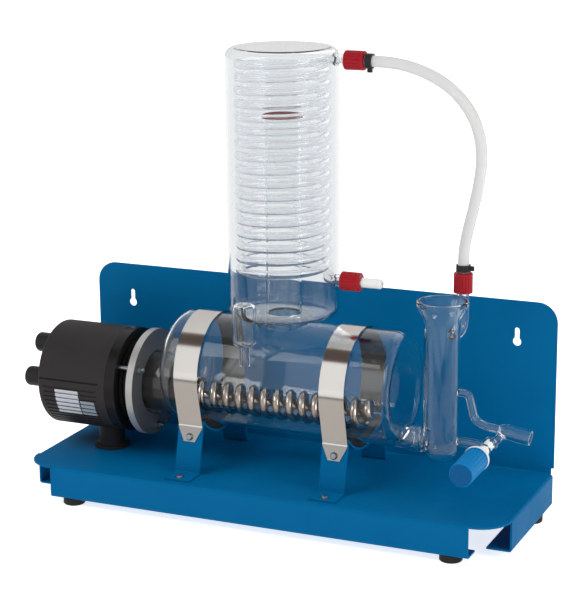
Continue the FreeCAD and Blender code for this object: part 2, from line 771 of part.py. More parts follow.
def make_cradle_fasteners():
    strap_screws, strap_nuts, deck_screws, deck_nuts = [], [], [], []
    (base_out, base_down), (top_out, top_down) = leg_face()
    lean = math.atan2(float(base_out - top_out), float(base_down - top_down))
    inward, downward = math.cos(lean), math.sin(lean)
    out = leg_reach(s.strap_screw_up) + s.strap_sheet + s.strap_gap
    grip = s.cradle_sheet + s.strap_sheet + s.strap_gap
    for i, x in enumerate((s.left_cradle_x, s.right_cradle_x)):
        for side in (-1, 1):
            tag = "%d_%s" % (i, "front" if side < 0 else "rear")
            way = (0, -side * inward, -downward)
            strap_screws.append(make_screw(
                "strap_screw_" + tag, grip, x, s.boiler_y + out * side,
                s.strap_screw_up, way))
            strap_nuts.append(make_nut(
                "strap_nut_" + tag, s.nut_across, s.screw_radius, s.nut_height, x,
                s.boiler_y + (out - grip * inward) * side,
                s.strap_screw_up - grip * downward, way))
            y = s.boiler_y + (s.cradle_base + s.cradle_screw_out) * side
            deck_screws.append(make_screw(
                "cradle_screw_" + tag, s.cradle_sheet + s.tray_sheet, x, y,
                s.cradle_sheet, (0, 0, -1)))
            deck_nuts.append(make_nut(
                "cradle_nut_" + tag, s.nut_across, s.screw_radius, s.nut_height,
                x, y, -s.tray_sheet, (0, 0, -1)))
    keep(group("strap_screws", strap_screws))
    keep(group("strap_nuts", strap_nuts))
    keep(group("cradle_screws", deck_screws))
    keep(group("cradle_nuts", deck_nuts))


# Glass boiler

def make_boiler():
    wall = s.glass_wall
    vessel = turned_x("boiler_outside_vessel", [
        (s.boiler_left, 0), (s.boiler_left, s.boiler_radius, s.left_shoulder),
        (s.boiler_right, s.boiler_radius, s.right_shoulder), (s.boiler_right, 0)],
        0, s.boiler_y, s.boiler_up)
    hollow = turned_x("boiler_inside_vessel", [
        (s.boiler_left + wall, 0),
        (s.boiler_left + wall, s.boiler_radius - wall, s.left_shoulder - wall),
        (s.boiler_right - wall, s.boiler_radius - wall, s.right_shoulder - wall),
        (s.boiler_right - wall, 0)], 0, s.boiler_y, s.boiler_up)
    neck_end = s.boiler_left + s.left_shoulder
    neck = turned_x("boiler_neck", [
        (bead_left, 0), (bead_left, s.bead_radius, 2.5), (bead_right, s.bead_radius, 2.5),
        (bead_right, s.neck_radius), (neck_end, s.neck_radius), (neck_end, 0)],
        0, s.boiler_y, s.neck_up)
    neck_bore = rod("boiler_neck_bore", s.neck_radius - s.neck_wall,
                    neck_end - bead_left + 2, bead_left - 1, s.boiler_y, s.neck_up,
                    (1, 0, 0))
    riser_foot = s.boiler_up + s.boiler_radius * 0.7
    riser = rod("boiler_riser", s.riser_radius, s.jacket_floor - s.face_gap - riser_foot,
                s.condenser_x, s.boiler_y, riser_foot, (0, 0, 1))
    riser_bore = rod("boiler_riser_bore", s.riser_radius - wall,
                     s.jacket_floor + 5 - riser_foot, s.condenser_x, s.boiler_y,
                     riser_foot, (0, 0, 1))
    link_start = s.boiler_right - s.right_shoulder
    link_end = s.link_joint - s.link_gap / 2
    link = rod("boiler_link", s.link_radius, link_end - link_start, link_start,
               s.boiler_y, s.link_up, (1, 0, 0))
    link_bore = rod("boiler_link_bore", s.link_radius - s.level_wall,
                    link_end - link_start + 2, link_start - 1, s.boiler_y, s.link_up,
                    (1, 0, 0))
    keep(hollowed("boiler_glass", [vessel, neck, riser, link],
                  [hollow, neck_bore, riser_bore, link_bore]))


# Condenser

def make_condenser():
    wall = s.jacket_wall
    at = (s.condenser_x, s.boiler_y, 0)
    jacket = turned_z("jacket_outside", [
        (0, s.jacket_floor), (s.jacket_radius, s.jacket_floor, s.floor_shoulder),
        (s.jacket_radius, s.jacket_top, s.top_shoulder), (0, s.jacket_top)], *at)
    inside = turned_z("jacket_inside", [
        (0, s.jacket_floor + wall),
        (s.jacket_radius - wall, s.jacket_floor + wall, s.floor_shoulder - wall),
        (s.jacket_radius - wall, s.jacket_top - wall, s.top_shoulder - wall),
        (0, s.jacket_top - wall)], *at)
    outsides, insides = [jacket], [inside]
    spigot_start = s.condenser_x + s.jacket_radius - wall - 1.5
    for name, up, cap_x in (("inlet", s.inlet_up, s.inlet_cap_x),
                            ("outlet", s.outlet_up, s.outlet_cap_x)):
        tip = cap_x + s.spigot_length
        outsides.append(rod("jacket_%s_spigot" % name, s.spigot_radius,
                            tip - spigot_start, spigot_start, s.boiler_y, up, (1, 0, 0)))
        insides.append(rod("jacket_%s_bore" % name, s.spigot_bore,
                           tip - spigot_start + 2, spigot_start - 1, s.boiler_y, up,
                           (1, 0, 0)))
        insides.append(rod("jacket_%s_socket" % name, s.coil_tube + s.running_gap,
                           s.spigot_socket + 1, spigot_start - 1, s.boiler_y, up,
                           (1, 0, 0)))
    spout = turned_z("spout_outside", [
        (0, s.tip_end), (s.tip_radius, s.tip_end), (s.tip_radius, s.spout_foot + 1),
        (s.spout_radius, s.spout_foot + 1, s.tip_radius),
        (s.spout_radius, s.spout_top, s.tip_radius), (0, s.spout_top)],
        s.spout_x, s.spout_y, 0)
    thin = s.spout_wall
    spout_hollow = turned_z("spout_inside", [
        (0, s.tip_end - 1), (s.tip_radius - thin, s.tip_end - 1),
        (s.tip_radius - thin, s.spout_foot + 1 + thin),
        (s.spout_radius - thin, s.spout_foot + 1 + thin, s.tip_radius - thin),
        (s.spout_radius - thin, s.spout_top - thin, s.tip_radius - thin),
        (0, s.spout_top - thin)], s.spout_x, s.spout_y, 0)
    vapour_hole = rod("jacket_vapour_hole", s.vapour_radius + s.seat_gap,
                      wall * 3, *at[:2], s.jacket_floor - wall, (0, 0, 1))
    outsides.append(spout)
    insides += [spout_hollow, vapour_hole]
    keep(hollowed("condenser_jacket", outsides, insides))

    keep(turned_z("vapour_tube", [
        (s.vapour_radius - s.vapour_wall, s.vapour_foot), (s.vapour_radius, s.vapour_foot),
        (s.vapour_radius, s.vapour_top), (s.vapour_radius - s.vapour_wall, s.vapour_top)],
        *at))
    bottom = s.vapour_top - s.splash_ring * 1.5
    inner = s.vapour_radius + s.seat_gap
    keep(turned_z("vapour_tube_ring", [
        (inner, bottom), (inner + s.splash_ring, bottom, 0.6),
        (inner + s.splash_ring, s.vapour_top + s.splash_ring * 0.2, 0.6),
        (inner, s.vapour_top + s.splash_ring * 0.2)], *at))


def make_condenser_coil():
    """One glass tube from the inlet spigot, round the jacket, to the outlet."""
    axis = Vector(float(s.condenser_x), float(s.boiler_y), float(s.inlet_up))
    radius, tube = float(s.coil_radius), float(s.coil_tube)
    turns = int(round(float(s.coil_turns)))
    pitch = float(s.outlet_up - s.inlet_up) / turns
    lead = 22
    wall_x = float(s.jacket_radius - s.jacket_wall) - 0.5
    socket = 2 * tube
    out, in_ = Vector(1, 0, 0), Vector(-1, 0, 0)
    turned, (first, first_way), (last, last_way) = winding(
        axis, Vector(0, 0, 1), Vector(1, 0, 0), Vector(0, 1, 0), radius, pitch,
        lead, 360 * turns - lead)
    low = axis + out * wall_x
    high = low + Vector(0, 0, pitch * turns)
    edges = [Part.LineSegment(low + out * socket, low).toShape()]
    edges += biarc(low, in_, first, first_way)
    edges += turned
    edges += biarc(last, last_way, high, out)
    edges.append(Part.LineSegment(high, high + out * socket).toShape())
    wire = chained(edges)
    gap = least_gap(wire, tube, 12 * tube)
    print("condenser_coil: least gap to itself %.2f mm" % gap)
    keep(from_shape("condenser_coil", swept(wire, tube)))


# Screw-cap unions: the union's own x axis runs out of its glass spigot

BARB_ROWS = 3


def make_union(name, x, y, z, reach, turn=None):
    shoulder = s.spigot_length
    seal_end = shoulder + s.running_gap + s.seal_thick
    flange_end = seal_end + s.nozzle_flange
    cap_inside = s.spigot_radius + s.cap_gap
    hole = s.nozzle_radius + s.cap_gap
    inner_face = flange_end + s.running_gap
    cap = turned_x(name + "_cap", [
        (0, cap_inside), (0, s.cap_radius), (s.cap_length, s.cap_radius, 1.2),
        (s.cap_length, hole), (inner_face, hole), (inner_face, cap_inside)],
        x, y, z, turn)
    groove = sketch_on(cap, "YZ_Plane", 1.5)
    circle(groove, 0, s.cap_radius + 0.35, 1)
    notch = cut(cap, groove, s.cap_length - 4.5, forward=True)
    repeat_around(cap, notch, "X_Axis", s.cap_grooves)
    keep(cap)
    keep(turned_x(name + "_seal", [
        (shoulder + s.running_gap / 2, s.nozzle_bore + 0.8),
        (shoulder + s.running_gap / 2, s.spigot_radius - 0.3),
        (seal_end - s.running_gap / 2, s.spigot_radius - 0.3),
        (seal_end - s.running_gap / 2, s.nozzle_bore + 0.8)], x, y, z, turn))
    tip = s.cap_length + reach
    profile = [(seal_end, s.nozzle_bore), (seal_end, s.spigot_radius),
               (flange_end, s.spigot_radius), (flange_end, s.nozzle_radius)]
    if name == "inlet":
        plain = s.cap_length + s.running_gap + 1
        profile += [(plain, s.nozzle_radius), (plain, s.free_nozzle, 0.6),
                    (tip - 2, s.free_nozzle), (tip, s.nozzle_radius)]
    else:
        for row in range(BARB_ROWS):
            foot = s.cap_length + 1.5 + (reach - 2.5) / BARB_ROWS * row
            profile += [(foot, s.nozzle_radius), (foot, s.barb_radius),
                        (foot + reach * 0.22, s.nozzle_radius)]
        profile += [(tip, s.nozzle_radius - 0.6)]
    profile += [(tip, s.nozzle_bore)]
    keep(turned_x(name + "_nozzle", profile, x, y, z, turn))


def make_unions():
    upward = Rotation(Vector(0, 1, 0), -90)
    make_union("inlet", s.inlet_cap_x, s.boiler_y, s.inlet_up, s.free_length)
    make_union("outlet", s.outlet_cap_x, s.boiler_y, s.outlet_up, s.hose_nozzle)
    make_union("level", s.supply_x, s.supply_y, s.supply_cap, s.hose_nozzle, upward)


# Cooling hose

HOSE_ROUTE = [
    (92, 98, 446), (112, 98, 446), (137, 98, 443), (163, 98, 434.5), (185, 98.5, 421),
    (202, 100, 402), (211.5, 103.5, 379), (213.5, 108.5, 353), (209, 114.5, 327),
    (202, 120.5, 301), (195, 126, 278), (190, 130, 261), (187, 133, 244),
    (187, 133, 226.8)]


def make_hose():
    """Silicone hose from the condenser's outlet down to the level device."""
    ends = {0: outlet_hose_end(), -1: level_hose_end()}
    points = [Vector(*p) for p in HOSE_ROUTE]
    for which, spot in ends.items():
        points[which] = spot
    points[1] = Vector(points[1].x, points[0].y, points[0].z)
    points[-2] = Vector(points[-1].x, points[-1].y, points[-2].z)
    runs = [(b - a).Length for a, b in zip(points, points[1:])]
    radii = []
    for i in range(1, len(points) - 1):
        turn = (points[i] - points[i - 1]).getAngle(points[i + 1] - points[i])
        radii.append(0.45 * min(runs[i - 1], runs[i]) / math.tan(turn / 2))
    print("cooling_hose: bend radii", [round(r) for r in radii])
    path = rounded_path(points, radii)
    skin = swept(path, s.hose_radius)
    bore = swept(path, s.hose_bore)
    hose = skin.cut(bore)
    section = math.pi * (float(s.hose_radius) ** 2 - float(s.hose_bore) ** 2)
    print("cooling_hose: length %.1f mm, volume over section times length %.4f"
          % (path.Length, hose.Volume / (section * path.Length)))
    keep(from_shape("cooling_hose", hose))
    lug_out = s.hose_radius + s.clip_wall + s.clip_lug
    for name, x, y, z, turn in (
            ("hose_clip_upper", s.outlet_cap_x + s.cap_length + 1.5, s.boiler_y,
             s.outlet_up, None),
            ("hose_clip_lower", s.supply_x, s.supply_y, s.supply_cap + s.cap_length + 1.5,
             Rotation(Vector(0, 1, 0), -90))):
        clip = new_body(name, x, y, z, turn)
        ring = sketch_on(clip, "YZ_Plane")
        circle(ring, 0, 0, s.hose_radius + s.clip_wall)
        pad(clip, ring, s.clip_width)
        lug = sketch_on(clip, "YZ_Plane", s.clip_width * 0.15)
        outline(lug, [(-1.6, -s.hose_radius), (1.6, -s.hose_radius), (1.6, -lug_out, 0.6),
                      (-1.6, -lug_out, 0.6)])
        pad(clip, lug, s.clip_width * 0.7)
        bore = sketch_on(clip, "YZ_Plane", -1)
        circle(bore, 0, 0, s.hose_radius + s.running_gap)
        cut(clip, bore, s.clip_width + 2, forward=True)
        keep(clip)


def outlet_hose_end():
    start = s.outlet_cap_x + s.cap_length + s.running_gap * 2
    return Vector(float(start), float(s.boiler_y), float(s.outlet_up))


def level_hose_end():
    start = s.supply_cap + s.cap_length + s.running_gap * 2
    return Vector(float(s.supply_x), float(s.supply_y), float(start))


# Constant level device

def tap_way():
    """Direction from the tap's barrel towards its knob."""
    tilt = math.radians(float(s.tap_tilt))
    return Vector(0, -math.cos(tilt), -math.sin(tilt))


def side_tube(name, points, radii, radius, wall):
    """Outside and bore of a bent side tube, as two solids."""
    path = rounded_path(points, radii)
    return (from_shape(name + "_outside", swept(path, radius)),
            from_shape(name + "_bore", swept(path, float(radius) - float(wall))))


def make_level_device():
    y = s.boiler_y
    wall = s.level_wall
    body = turned_z("level_body_outside", [
        (0, s.level_foot), (s.level_radius, s.level_foot, 12),
        (s.level_radius, s.flare_start, 14),
        (s.mouth_radius, s.mouth_up - s.mouth_bead, 1.8),
        (s.mouth_radius, s.mouth_up, 1.8), (0, s.mouth_up)], s.level_x, y, 0)
    hollow = turned_z("level_body_inside", [
        (0, s.level_foot + wall), (s.level_radius - wall, s.level_foot + wall, 10),
        (s.level_radius - wall, s.flare_start + 1, 14),
        (s.mouth_radius - s.mouth_bead + 0.8, s.mouth_up - s.mouth_bead + 2),
        (s.mouth_radius - s.mouth_bead + 0.8, s.mouth_up + 2), (0, s.mouth_up + 2)],
        s.level_x, y, 0)
    link_start = s.link_joint + s.link_gap / 2
    link = rod("level_link_outside", s.link_radius, s.level_x - link_start, link_start,
               y, s.link_up, (1, 0, 0))
    link_bore = rod("level_link_bore", s.link_radius - wall,
                    s.level_x - link_start + 1, link_start - 1, y, s.link_up, (1, 0, 0))
    centre = Vector(float(s.level_x), float(y), float(s.supply_joins))
    supply_top = s.supply_cap + s.spigot_length
    elbow = Vector(float(s.supply_x), float(s.supply_y), float(s.supply_joins))
    inward = centre + (elbow - centre) * 0.25
    top = Vector(elbow.x, elbow.y, float(supply_top))
    supply, supply_bore = side_tube("level_supply", [inward, elbow, top],
                                    [float(s.supply_bend)], s.spigot_radius, 0)
    supply_bore.Shape = swept(rounded_path([inward, elbow, top + Vector(0, 0, 1)],
                                           [float(s.supply_bend)]), s.spigot_bore)
    y_mm, side = float(y), float(s.level_x)
    waste_up = float(s.waste_up)
    start_x = float(s.waste_x)
    up = float(s.overflow_up)
    overflow, overflow_bore = side_tube("level_overflow", [
        (side + 5, y_mm, up), (side + 30, y_mm, up), (side + 37, y_mm, up - 28),
        (side + 50, y_mm, waste_up + 1.5), (start_x + 6, y_mm, waste_up - 1)],
        [8, 10, 9], s.overflow_radius, s.side_wall)
    fall = Rotation(Vector(0, 1, 0), float(s.waste_fall))
    tube_length = (s.waste_end - s.waste_x) / cosine(s.waste_fall)
    waste = turned_x("level_waste_outside", [
        (0, 0), (0, s.overflow_radius + 1.2, 1.5), (8, s.waste_radius, 3),
        (tube_length, s.waste_radius, 0.6), (tube_length, 0)],
        s.waste_x, y, s.waste_up, fall)
    waste_bore = turned_x("level_waste_bore", [
        (2, 0), (2, s.overflow_radius - s.side_wall), (9, s.waste_radius - wall),
        (tube_length + 2, s.waste_radius - wall), (tube_length + 2, 0)],
        s.waste_x, y, s.waste_up, fall)
    way = tap_way()
    tap_y, tap_z = float(y), float(s.tap_up)
    back = float(s.barrel_back)
    barrel_y, barrel_z = tap_y - way.y * back, tap_z - way.z * back
    barrel = rod("tap_barrel_outside", s.barrel_radius, s.barrel_back + s.barrel_front,
                 s.tap_x, barrel_y, barrel_z, tuple(way))
    shift = float(s.barrel_wall)
    barrel_bore = rod("tap_barrel_bore", s.barrel_radius - s.barrel_wall,
                      s.barrel_back + s.barrel_front, s.tap_x,
                      barrel_y + way.y * shift, barrel_z + way.z * shift, tuple(way))
    tap_x = float(s.tap_x)
    drain, drain_bore = side_tube("level_drain", [
        (side + 8, y_mm, tap_z + 2), (side + 30, y_mm, tap_z + 1.5), (tap_x - 2, y_mm, tap_z)],
        [60], s.drain_radius, s.side_wall)
    tail, tail_bore = side_tube("level_tail", [
        (tap_x + 3, y_mm, tap_z + 3), (tap_x + 12, y_mm, tap_z + 10),
        (start_x + 3.5, y_mm, waste_up - 2)], [12], s.overflow_radius, s.side_wall)
    keep(hollowed("level_device", body,
                  [hollow, link_bore, supply_bore, overflow_bore, drain_bore]))
    keep(hollowed("level_link", link, [body, link_bore]))
    keep(hollowed("level_supply", supply, [body, supply_bore]))
    keep(hollowed(
        "level_drain", [overflow, waste, barrel, drain, tail],
        [body, overflow_bore, waste_bore, barrel_bore, drain_bore, tail_bore]))


def make_link_sleeve():
    """Clear sleeve that couples the boiler's side arm to the level device."""
    inner = s.link_radius + s.running_gap
    start = s.link_joint - s.sleeve_length / 2
    keep(turned_x("link_sleeve", [
        (0, inner), (0, inner + s.sleeve_wall, 0.8),
        (s.sleeve_length, inner + s.sleeve_wall, 0.8), (s.sleeve_length, inner)],
        start, s.boiler_y, s.link_up))


# Drain tap: its own x axis runs from the barrel to the front of the knob

def make_tap():
    way = tap_way()
    turn = Rotation(Vector(1, 0, 0), way)
    at = (s.tap_x, s.boiler_y, s.tap_up, turn)
    stem = s.barrel_radius - s.barrel_wall - s.stem_gap
    wire = s.ring_wire
    seat = stem - wire * 1.6
    collar_end = s.collar_at + s.collar_thick
    core = s.knob_radius - s.knob_wall
    core_end = s.knob_end - s.knob_wall * 1.6
    profile = [(-4, 0), (-4, stem)]
    for groove in (5.5, 9.5):
        profile += [(groove, stem), (groove, seat), (groove + wire * 2.2, seat),
                    (groove + wire * 2.2, stem)]
    profile += [
        (s.barrel_front + 1, stem), (s.barrel_front + 1, s.stem_neck),
        (s.collar_at, s.stem_neck), (s.collar_at, s.collar_radius, 0.8),
        (collar_end, s.collar_radius, 0.8), (collar_end, core),
        (core_end, core), (core_end, 0)]
    keep(turned_x("tap_key", profile, *at))
    rings = []
    for i, groove in enumerate((5.5, 9.5)):
        ring = doc.addObject("Part::Torus", "tap_ring_%d" % i)
        bind(ring, "Radius1", stem - wire * 0.8)
        bind(ring, "Radius2", wire * 0.7)
        along = groove + float(wire) * 1.1
        place(ring, s.tap_x, float(s.boiler_y) + way.y * along,
              float(s.tap_up) + way.z * along, Rotation(Vector(0, 0, 1), way))
        rings.append(ring)
    keep(group("tap_seals", rings))
    start = collar_end + s.running_gap
    knob = turned_x("tap_knob", [
        (start, core + s.running_gap), (start, s.knob_radius, 0.8),
        (s.knob_end, s.knob_front_radius, 1.6), (s.knob_end, 0),
        (core_end + s.running_gap, 0), (core_end + s.running_gap, core + s.running_gap)],
        *at)
    groove = sketch_on(knob, "YZ_Plane", start + 2.5)
    circle(groove, 0, s.knob_radius + 0.25, 1.05)
    notch = cut(knob, groove, s.knob_end - start, forward=True)
    repeat_around(knob, notch, "X_Axis", s.knob_grooves)
    keep(knob)


# Heater head: clamp ring, studs, seal, plate and element

def stud_places():
    """Studs round the neck, on the ring's own circle."""
    return [(s.boiler_y + s.stud_circle * cosine(angle),
             s.neck_up + s.stud_circle * sine(angle)) for angle in (30, 150, 270)]


def leg_points():
    """The element's winding and the two legs that carry it."""
    centre = Vector(float(s.element_start), float(s.boiler_y), float(s.element_up))
    radius, pitch = float(s.element_radius), float(s.element_pitch)
    tube = float(s.element_tube)
    axis, right, up = Vector(1, 0, 0), Vector(0, 0, 1), Vector(0, -1, 0)
    last_angle = 360 * int(round(float(s.element_turns)))
    turns, (first, first_way), (last, last_way) = winding(
        centre, axis, right, up, radius, pitch, 0, last_angle)
    bend = tube * 2.3
    entry = first - up * bend - axis * (bend * 1.1)
    middle = Vector(last.x + tube, centre.y, centre.z) - right + up * (tube * 1.1)
    back = up * -1
    turn_end = middle + back * (tube * 2.1) - axis * (tube * 2.1)
    return turns, (entry, first, first_way), (last, last_way, middle, back, turn_end)


def make_element():
    turns, (entry, first, first_way), (last, last_way, middle, back, turn_end) = leg_points()
    axis = Vector(1, 0, 0)
    inner_end = float(head_left) - float(s.block_length) / 2
    edges = [Part.LineSegment(Vector(inner_end, entry.y, entry.z), entry).toShape()]
    edges += biarc(entry, axis, first, first_way)
    edges += turns
    edges += biarc(last, last_way, middle, back)
    edges += biarc(middle, back, turn_end, axis * -1)
    edges.append(Part.LineSegment(
        turn_end, Vector(inner_end, turn_end.y, turn_end.z)).toShape())
    wire = chained(edges)
    tube = float(s.element_tube)
    print("heater_element: least gap to itself %.2f mm"
          % least_gap(wire, tube, 8 * tube))
    keep(from_shape("heater_element", swept(wire, tube)))


def leg_holes(label, left, right):
    """Two cutters that let the element's legs through a piece."""
    _, (entry, _, _), (_, _, _, _, turn_end) = leg_points()
    radius = s.element_tube + s.running_gap
    return [rod("%s_hole_%d" % (label, i), radius, right - left, left,
                spot.y, spot.z, (1, 0, 0)) for i, spot in enumerate((entry, turn_end))]


def make_heater_head():
    y, up = s.boiler_y, s.neck_up
    plug_end = seal_right + s.plug_length
    seal = turned_x("neck_seal_blank", [
        (seal_left, 0), (seal_left, s.seal_radius), (seal_right, s.seal_radius),
        (seal_right, s.plug_radius), (plug_end, s.plug_radius, 2), (plug_end, 0)], 0, y, up)
    keep(hollowed("neck_seal", seal, leg_holes("neck_seal", seal_left - 1, plug_end + 1)))
    head = turned_x("heater_head_blank", [
        (head_left, 0), (head_left, s.head_radius, 0.6), (head_right, s.head_radius, 0.6),
        (head_right, 0)], 0, y, up)
    keep(hollowed("heater_head", head, leg_holes("heater_head", head_left - 1, head_right + 1)))

    ring = new_body("clamp_ring", 0, y, up)
    face = sketch_on(ring, "YZ_Plane", ring_left)
    circle(face, 0, 0, s.ring_radius)
    circle(face, 0, 0, s.ring_bore)
    pad(ring, face, s.ring_thick)
    holes = sketch_on(ring, "YZ_Plane", ring_left - 1)
    for stud_y, stud_up in stud_places():
        circle(holes, stud_y - y, stud_up - up, s.stud_radius + s.hole_clearance)
    cut(ring, holes, s.ring_thick + 2, forward=True)
    keep(ring)

    studs, nuts = [], []
    start = step_left - s.stud_inside
    for i, (stud_y, stud_up) in enumerate(stud_places()):
        studs.append(turned_x("clamp_stud_%d" % i, [
            (start, 0), (start, s.stud_radius, 0.5),
            (s.ring_right + s.stud_outside, s.stud_radius, 0.5),
            (s.ring_right + s.stud_outside, 0)], 0, stud_y, stud_up))
        nuts.append(make_nut("ring_nut_%d" % i, s.stud_nut_across, s.stud_radius,
                             s.stud_nut, s.ring_right, stud_y, stud_up, (1, 0, 0)))
        nuts.append(make_nut("base_nut_%d" % i, s.stud_nut_across, s.stud_radius,
                             s.stud_nut, step_left, stud_y, stud_up, (-1, 0, 0)))
    keep(group("clamp_studs", studs))
    keep(group("clamp_nuts", nuts))


# Heater cover with its base, cut-outs and reset caps

def reset_places():
    return {"upper": (s.collar_high_y, s.collar_high_up),
            "lower": (s.collar_low_y, s.collar_low_up)}


def make_cover():
    y, up = s.boiler_y, s.neck_up
    base = new_body("cover_base", 0, y, up)
    rim = sketch_on(base, "YZ_Plane", base_left)
    circle(rim, 0, 0, s.cover_radius)
    pad(base, rim, s.base_thick)
    step = sketch_on(base, "YZ_Plane", step_left)
    circle(step, 0, 0, s.cover_radius - s.cover_wall - s.running_gap)
    pad(base, step, s.base_step + 1)
    opening = sketch_on(base, "YZ_Plane", step_left - 1)
    circle(opening, 0, 0, s.base_opening)
    for stud_y, stud_up in stud_places():
        circle(opening, stud_y - y, stud_up - up, s.stud_radius + s.hole_clearance)
    cut(base, opening, s.base_thick + s.base_step + 2, forward=True)
    keep(base)

    cover = turned_x("heater_cover", [
        (s.cover_left, 0), (s.cover_left, s.cover_radius, s.cover_edge),
        (base_left - s.face_gap, s.cover_radius),
        (base_left - s.face_gap, s.cover_radius - s.cover_wall),
        (s.cover_left + s.cover_wall, s.cover_radius - s.cover_wall, s.cover_edge / 2),
        (s.cover_left + s.cover_wall, 0)], 0, y, up)
    collars = sketch_on(cover, "YZ_Plane", s.cover_left - s.collar_length)
    bores = sketch_on(cover, "YZ_Plane", s.cover_left - s.collar_length - 1)
    for collar_y, collar_up in reset_places().values():
        circle(collars, collar_y - y, collar_up - up, s.reset_collar)
        circle(bores, collar_y - y, collar_up - up, s.button_radius + s.stem_gap)
    pad(cover, collars, s.collar_length + s.cover_wall / 2)
    cut(cover, bores, s.collar_length + s.cover_wall + 2, forward=True)
    boot_hole = sketch_on(cover, "XY_Plane", -s.cover_radius + s.cover_wall * 3)
    circle(boot_hole, s.boot_x, s.boot_y - y, s.boot_bore + 2)
    cut(cover, boot_hole, s.cover_wall * 4)

    # Ventilation ribs: long grooves along the lower half, front and back.
    grooves = sketch_on(cover, "YZ_Plane", s.cover_left + s.rib_inset)
    pitch_angle = s.rib_pitch / s.cover_radius * 57.2958
    depth_radius = s.cover_radius - s.rib_depth
    for side in (-1, 1):
        for rib in range(int(round(float(s.rib_count)))):
            angle = pitch_angle * (rib + 0.4)
            out_y, out_z = cosine(angle) * side, -sine(angle)
            wide_y, wide_z = sine(angle) * side, cosine(angle)
            half = s.rib_width / 2
            outline(grooves, [
                (out_y * depth_radius - wide_y * half, out_z * depth_radius - wide_z * half),
                (out_y * depth_radius + wide_y * half, out_z * depth_radius + wide_z * half),
                (out_y * (s.cover_radius + 2) + wide_y * half,
                 out_z * (s.cover_radius + 2) + wide_z * half),
                (out_y * (s.cover_radius + 2) - wide_y * half,
                 out_z * (s.cover_radius + 2) - wide_z * half)])
    cut(cover, grooves, s.rib_length, forward=True)
    keep(cover)

    for name, (cap_y, cap_up) in reset_places().items():
        cap_end = -s.face_gap - s.reset_cap_length
        hollow_end = -s.face_gap - s.collar_length - 5
        keep(turned_x("reset_cap_" + name, [
            (-s.face_gap, s.reset_collar + s.running_gap), (-s.face_gap, s.reset_cap, 0.6),
            (cap_end, s.reset_cap, 4.5), (cap_end, 0),
            (hollow_end, 0), (hollow_end, s.reset_collar + s.running_gap)],
            s.cover_left, cap_y, cap_up))
        inner_face = s.cover_wall + s.face_gap
        keep(turned_x("cutout_" + name, [
            (inner_face, 4.5), (inner_face, s.cutout_radius, 0.8),
            (inner_face + s.cutout_length, s.cutout_radius, 0.8),
            (inner_face + s.cutout_length, 0), (inner_face + 5, 0),
            (inner_face + 5, 4.5)],
            s.cover_left, cap_y, cap_up))
        keep(turned_x("reset_button_" + name, [
            (-s.button_length, 0), (-s.button_length, s.button_radius, 0.8),
            (inner_face + 1.5, s.button_radius), (inner_face + 1.5, 0)],
            s.cover_left, cap_y, cap_up))

    _, (entry, _, _), (_, _, _, _, turn_end) = leg_points()
    block = new_body("terminal_block", 0, y, up)
    face = sketch_on(block, "YZ_Plane", head_left - s.face_gap - s.block_length)
    middle_up = float(entry.z + turn_end.z) / 2 - float(up)
    middle_y = float(entry.y + turn_end.y) / 2 - float(y)
    outline(face, [
        (middle_y - s.block_width / 2, middle_up - s.block_height / 2, 2),
        (middle_y + s.block_width / 2, middle_up - s.block_height / 2, 2),
        (middle_y + s.block_width / 2, middle_up + s.block_height / 2, 2),
        (middle_y - s.block_width / 2, middle_up + s.block_height / 2, 2)])
    pad(block, face, s.block_length)
    sockets = sketch_on(block, "YZ_Plane", head_left)
    for spot in (entry, turn_end):
        circle(sockets, spot.y - float(y), spot.z - float(up), s.element_tube + s.running_gap)
    cut(block, sockets, s.block_length / 2 + 1)
    keep(block)


def make_boot():
    """Rubber boot that carries the lead from the deck into the cover."""
    top = s.neck_up - s.cover_radius + 12
    blank = turned_z("lead_boot_blank", [
        (s.boot_bore, -s.boot_tail), (s.boot_spigot, -s.boot_tail),
        (s.boot_spigot, 0), (s.boot_disc, 0, 0.5), (s.boot_disc, s.boot_disc_thick, 1.5),
        (s.boot_neck, s.boot_disc_thick + 1, 2), (s.boot_neck, top), (s.boot_bore, top)],
        s.boot_x, s.boot_y, 0)
    shadow = rod("lead_boot_saddle", s.cover_radius + s.seat_gap, 60,
                 s.boot_x - 30, s.boiler_y, s.neck_up, (1, 0, 0))
    keep(hollowed("lead_boot", blank, shadow))
    keep(make_nut("boot_nut", s.boot_spigot * 2.8, s.boot_spigot + s.running_gap, 5,
                  s.boot_x, s.boot_y, -s.tray_sheet, (0, 0, -1)))


make_stand()
make_feet()
make_cradle("cradle_left", s.left_cradle_x)
make_cradle("cradle_right", s.right_cradle_x)
make_pad("saddle_pad_left", s.left_cradle_x)
make_pad("saddle_pad_right", s.right_cradle_x)
make_strap("strap_left", s.left_cradle_x)
make_strap("strap_right", s.right_cradle_x)
make_cradle_fasteners()
make_boiler()
make_condenser()
make_condenser_coil()
make_unions()
make_hose()
make_level_device()
make_link_sleeve()
make_tap()
make_element()
make_heater_head()
make_cover()
make_boot()

doc.recompute()
faults = []
for thing in doc.Objects:
    if "Invalid" in thing.State or "Error" in thing.State:
        faults.append("%s is %s" % (thing.Label, thing.State))
for piece in finished:
    if piece.Shape.isNull() or not piece.Shape.isValid():
        faults.append("%s has no valid shape" % piece.Label)
if faults:
    raise ValueError("; ".join(faults))

whole = FreeCAD.BoundBox()
for piece in finished:
    piece.Shape.exportStep("parts/%s.step" % piece.Label)
    if piece.Label != "cooling_hose":
        whole.add(piece.Shape.BoundBox)
print("pieces %d, box without the hose %.2f %.2f %.2f to %.2f %.2f %.2f" % (
    len(finished), whole.XMin, whole.YMin, whole.ZMin, whole.XMax, whole.YMax, whole.ZMax))
print("origin in the drawing frame %.3f %.3f %.3f" % (
    float(centre_x), float(centre_y), float(floor_up)))
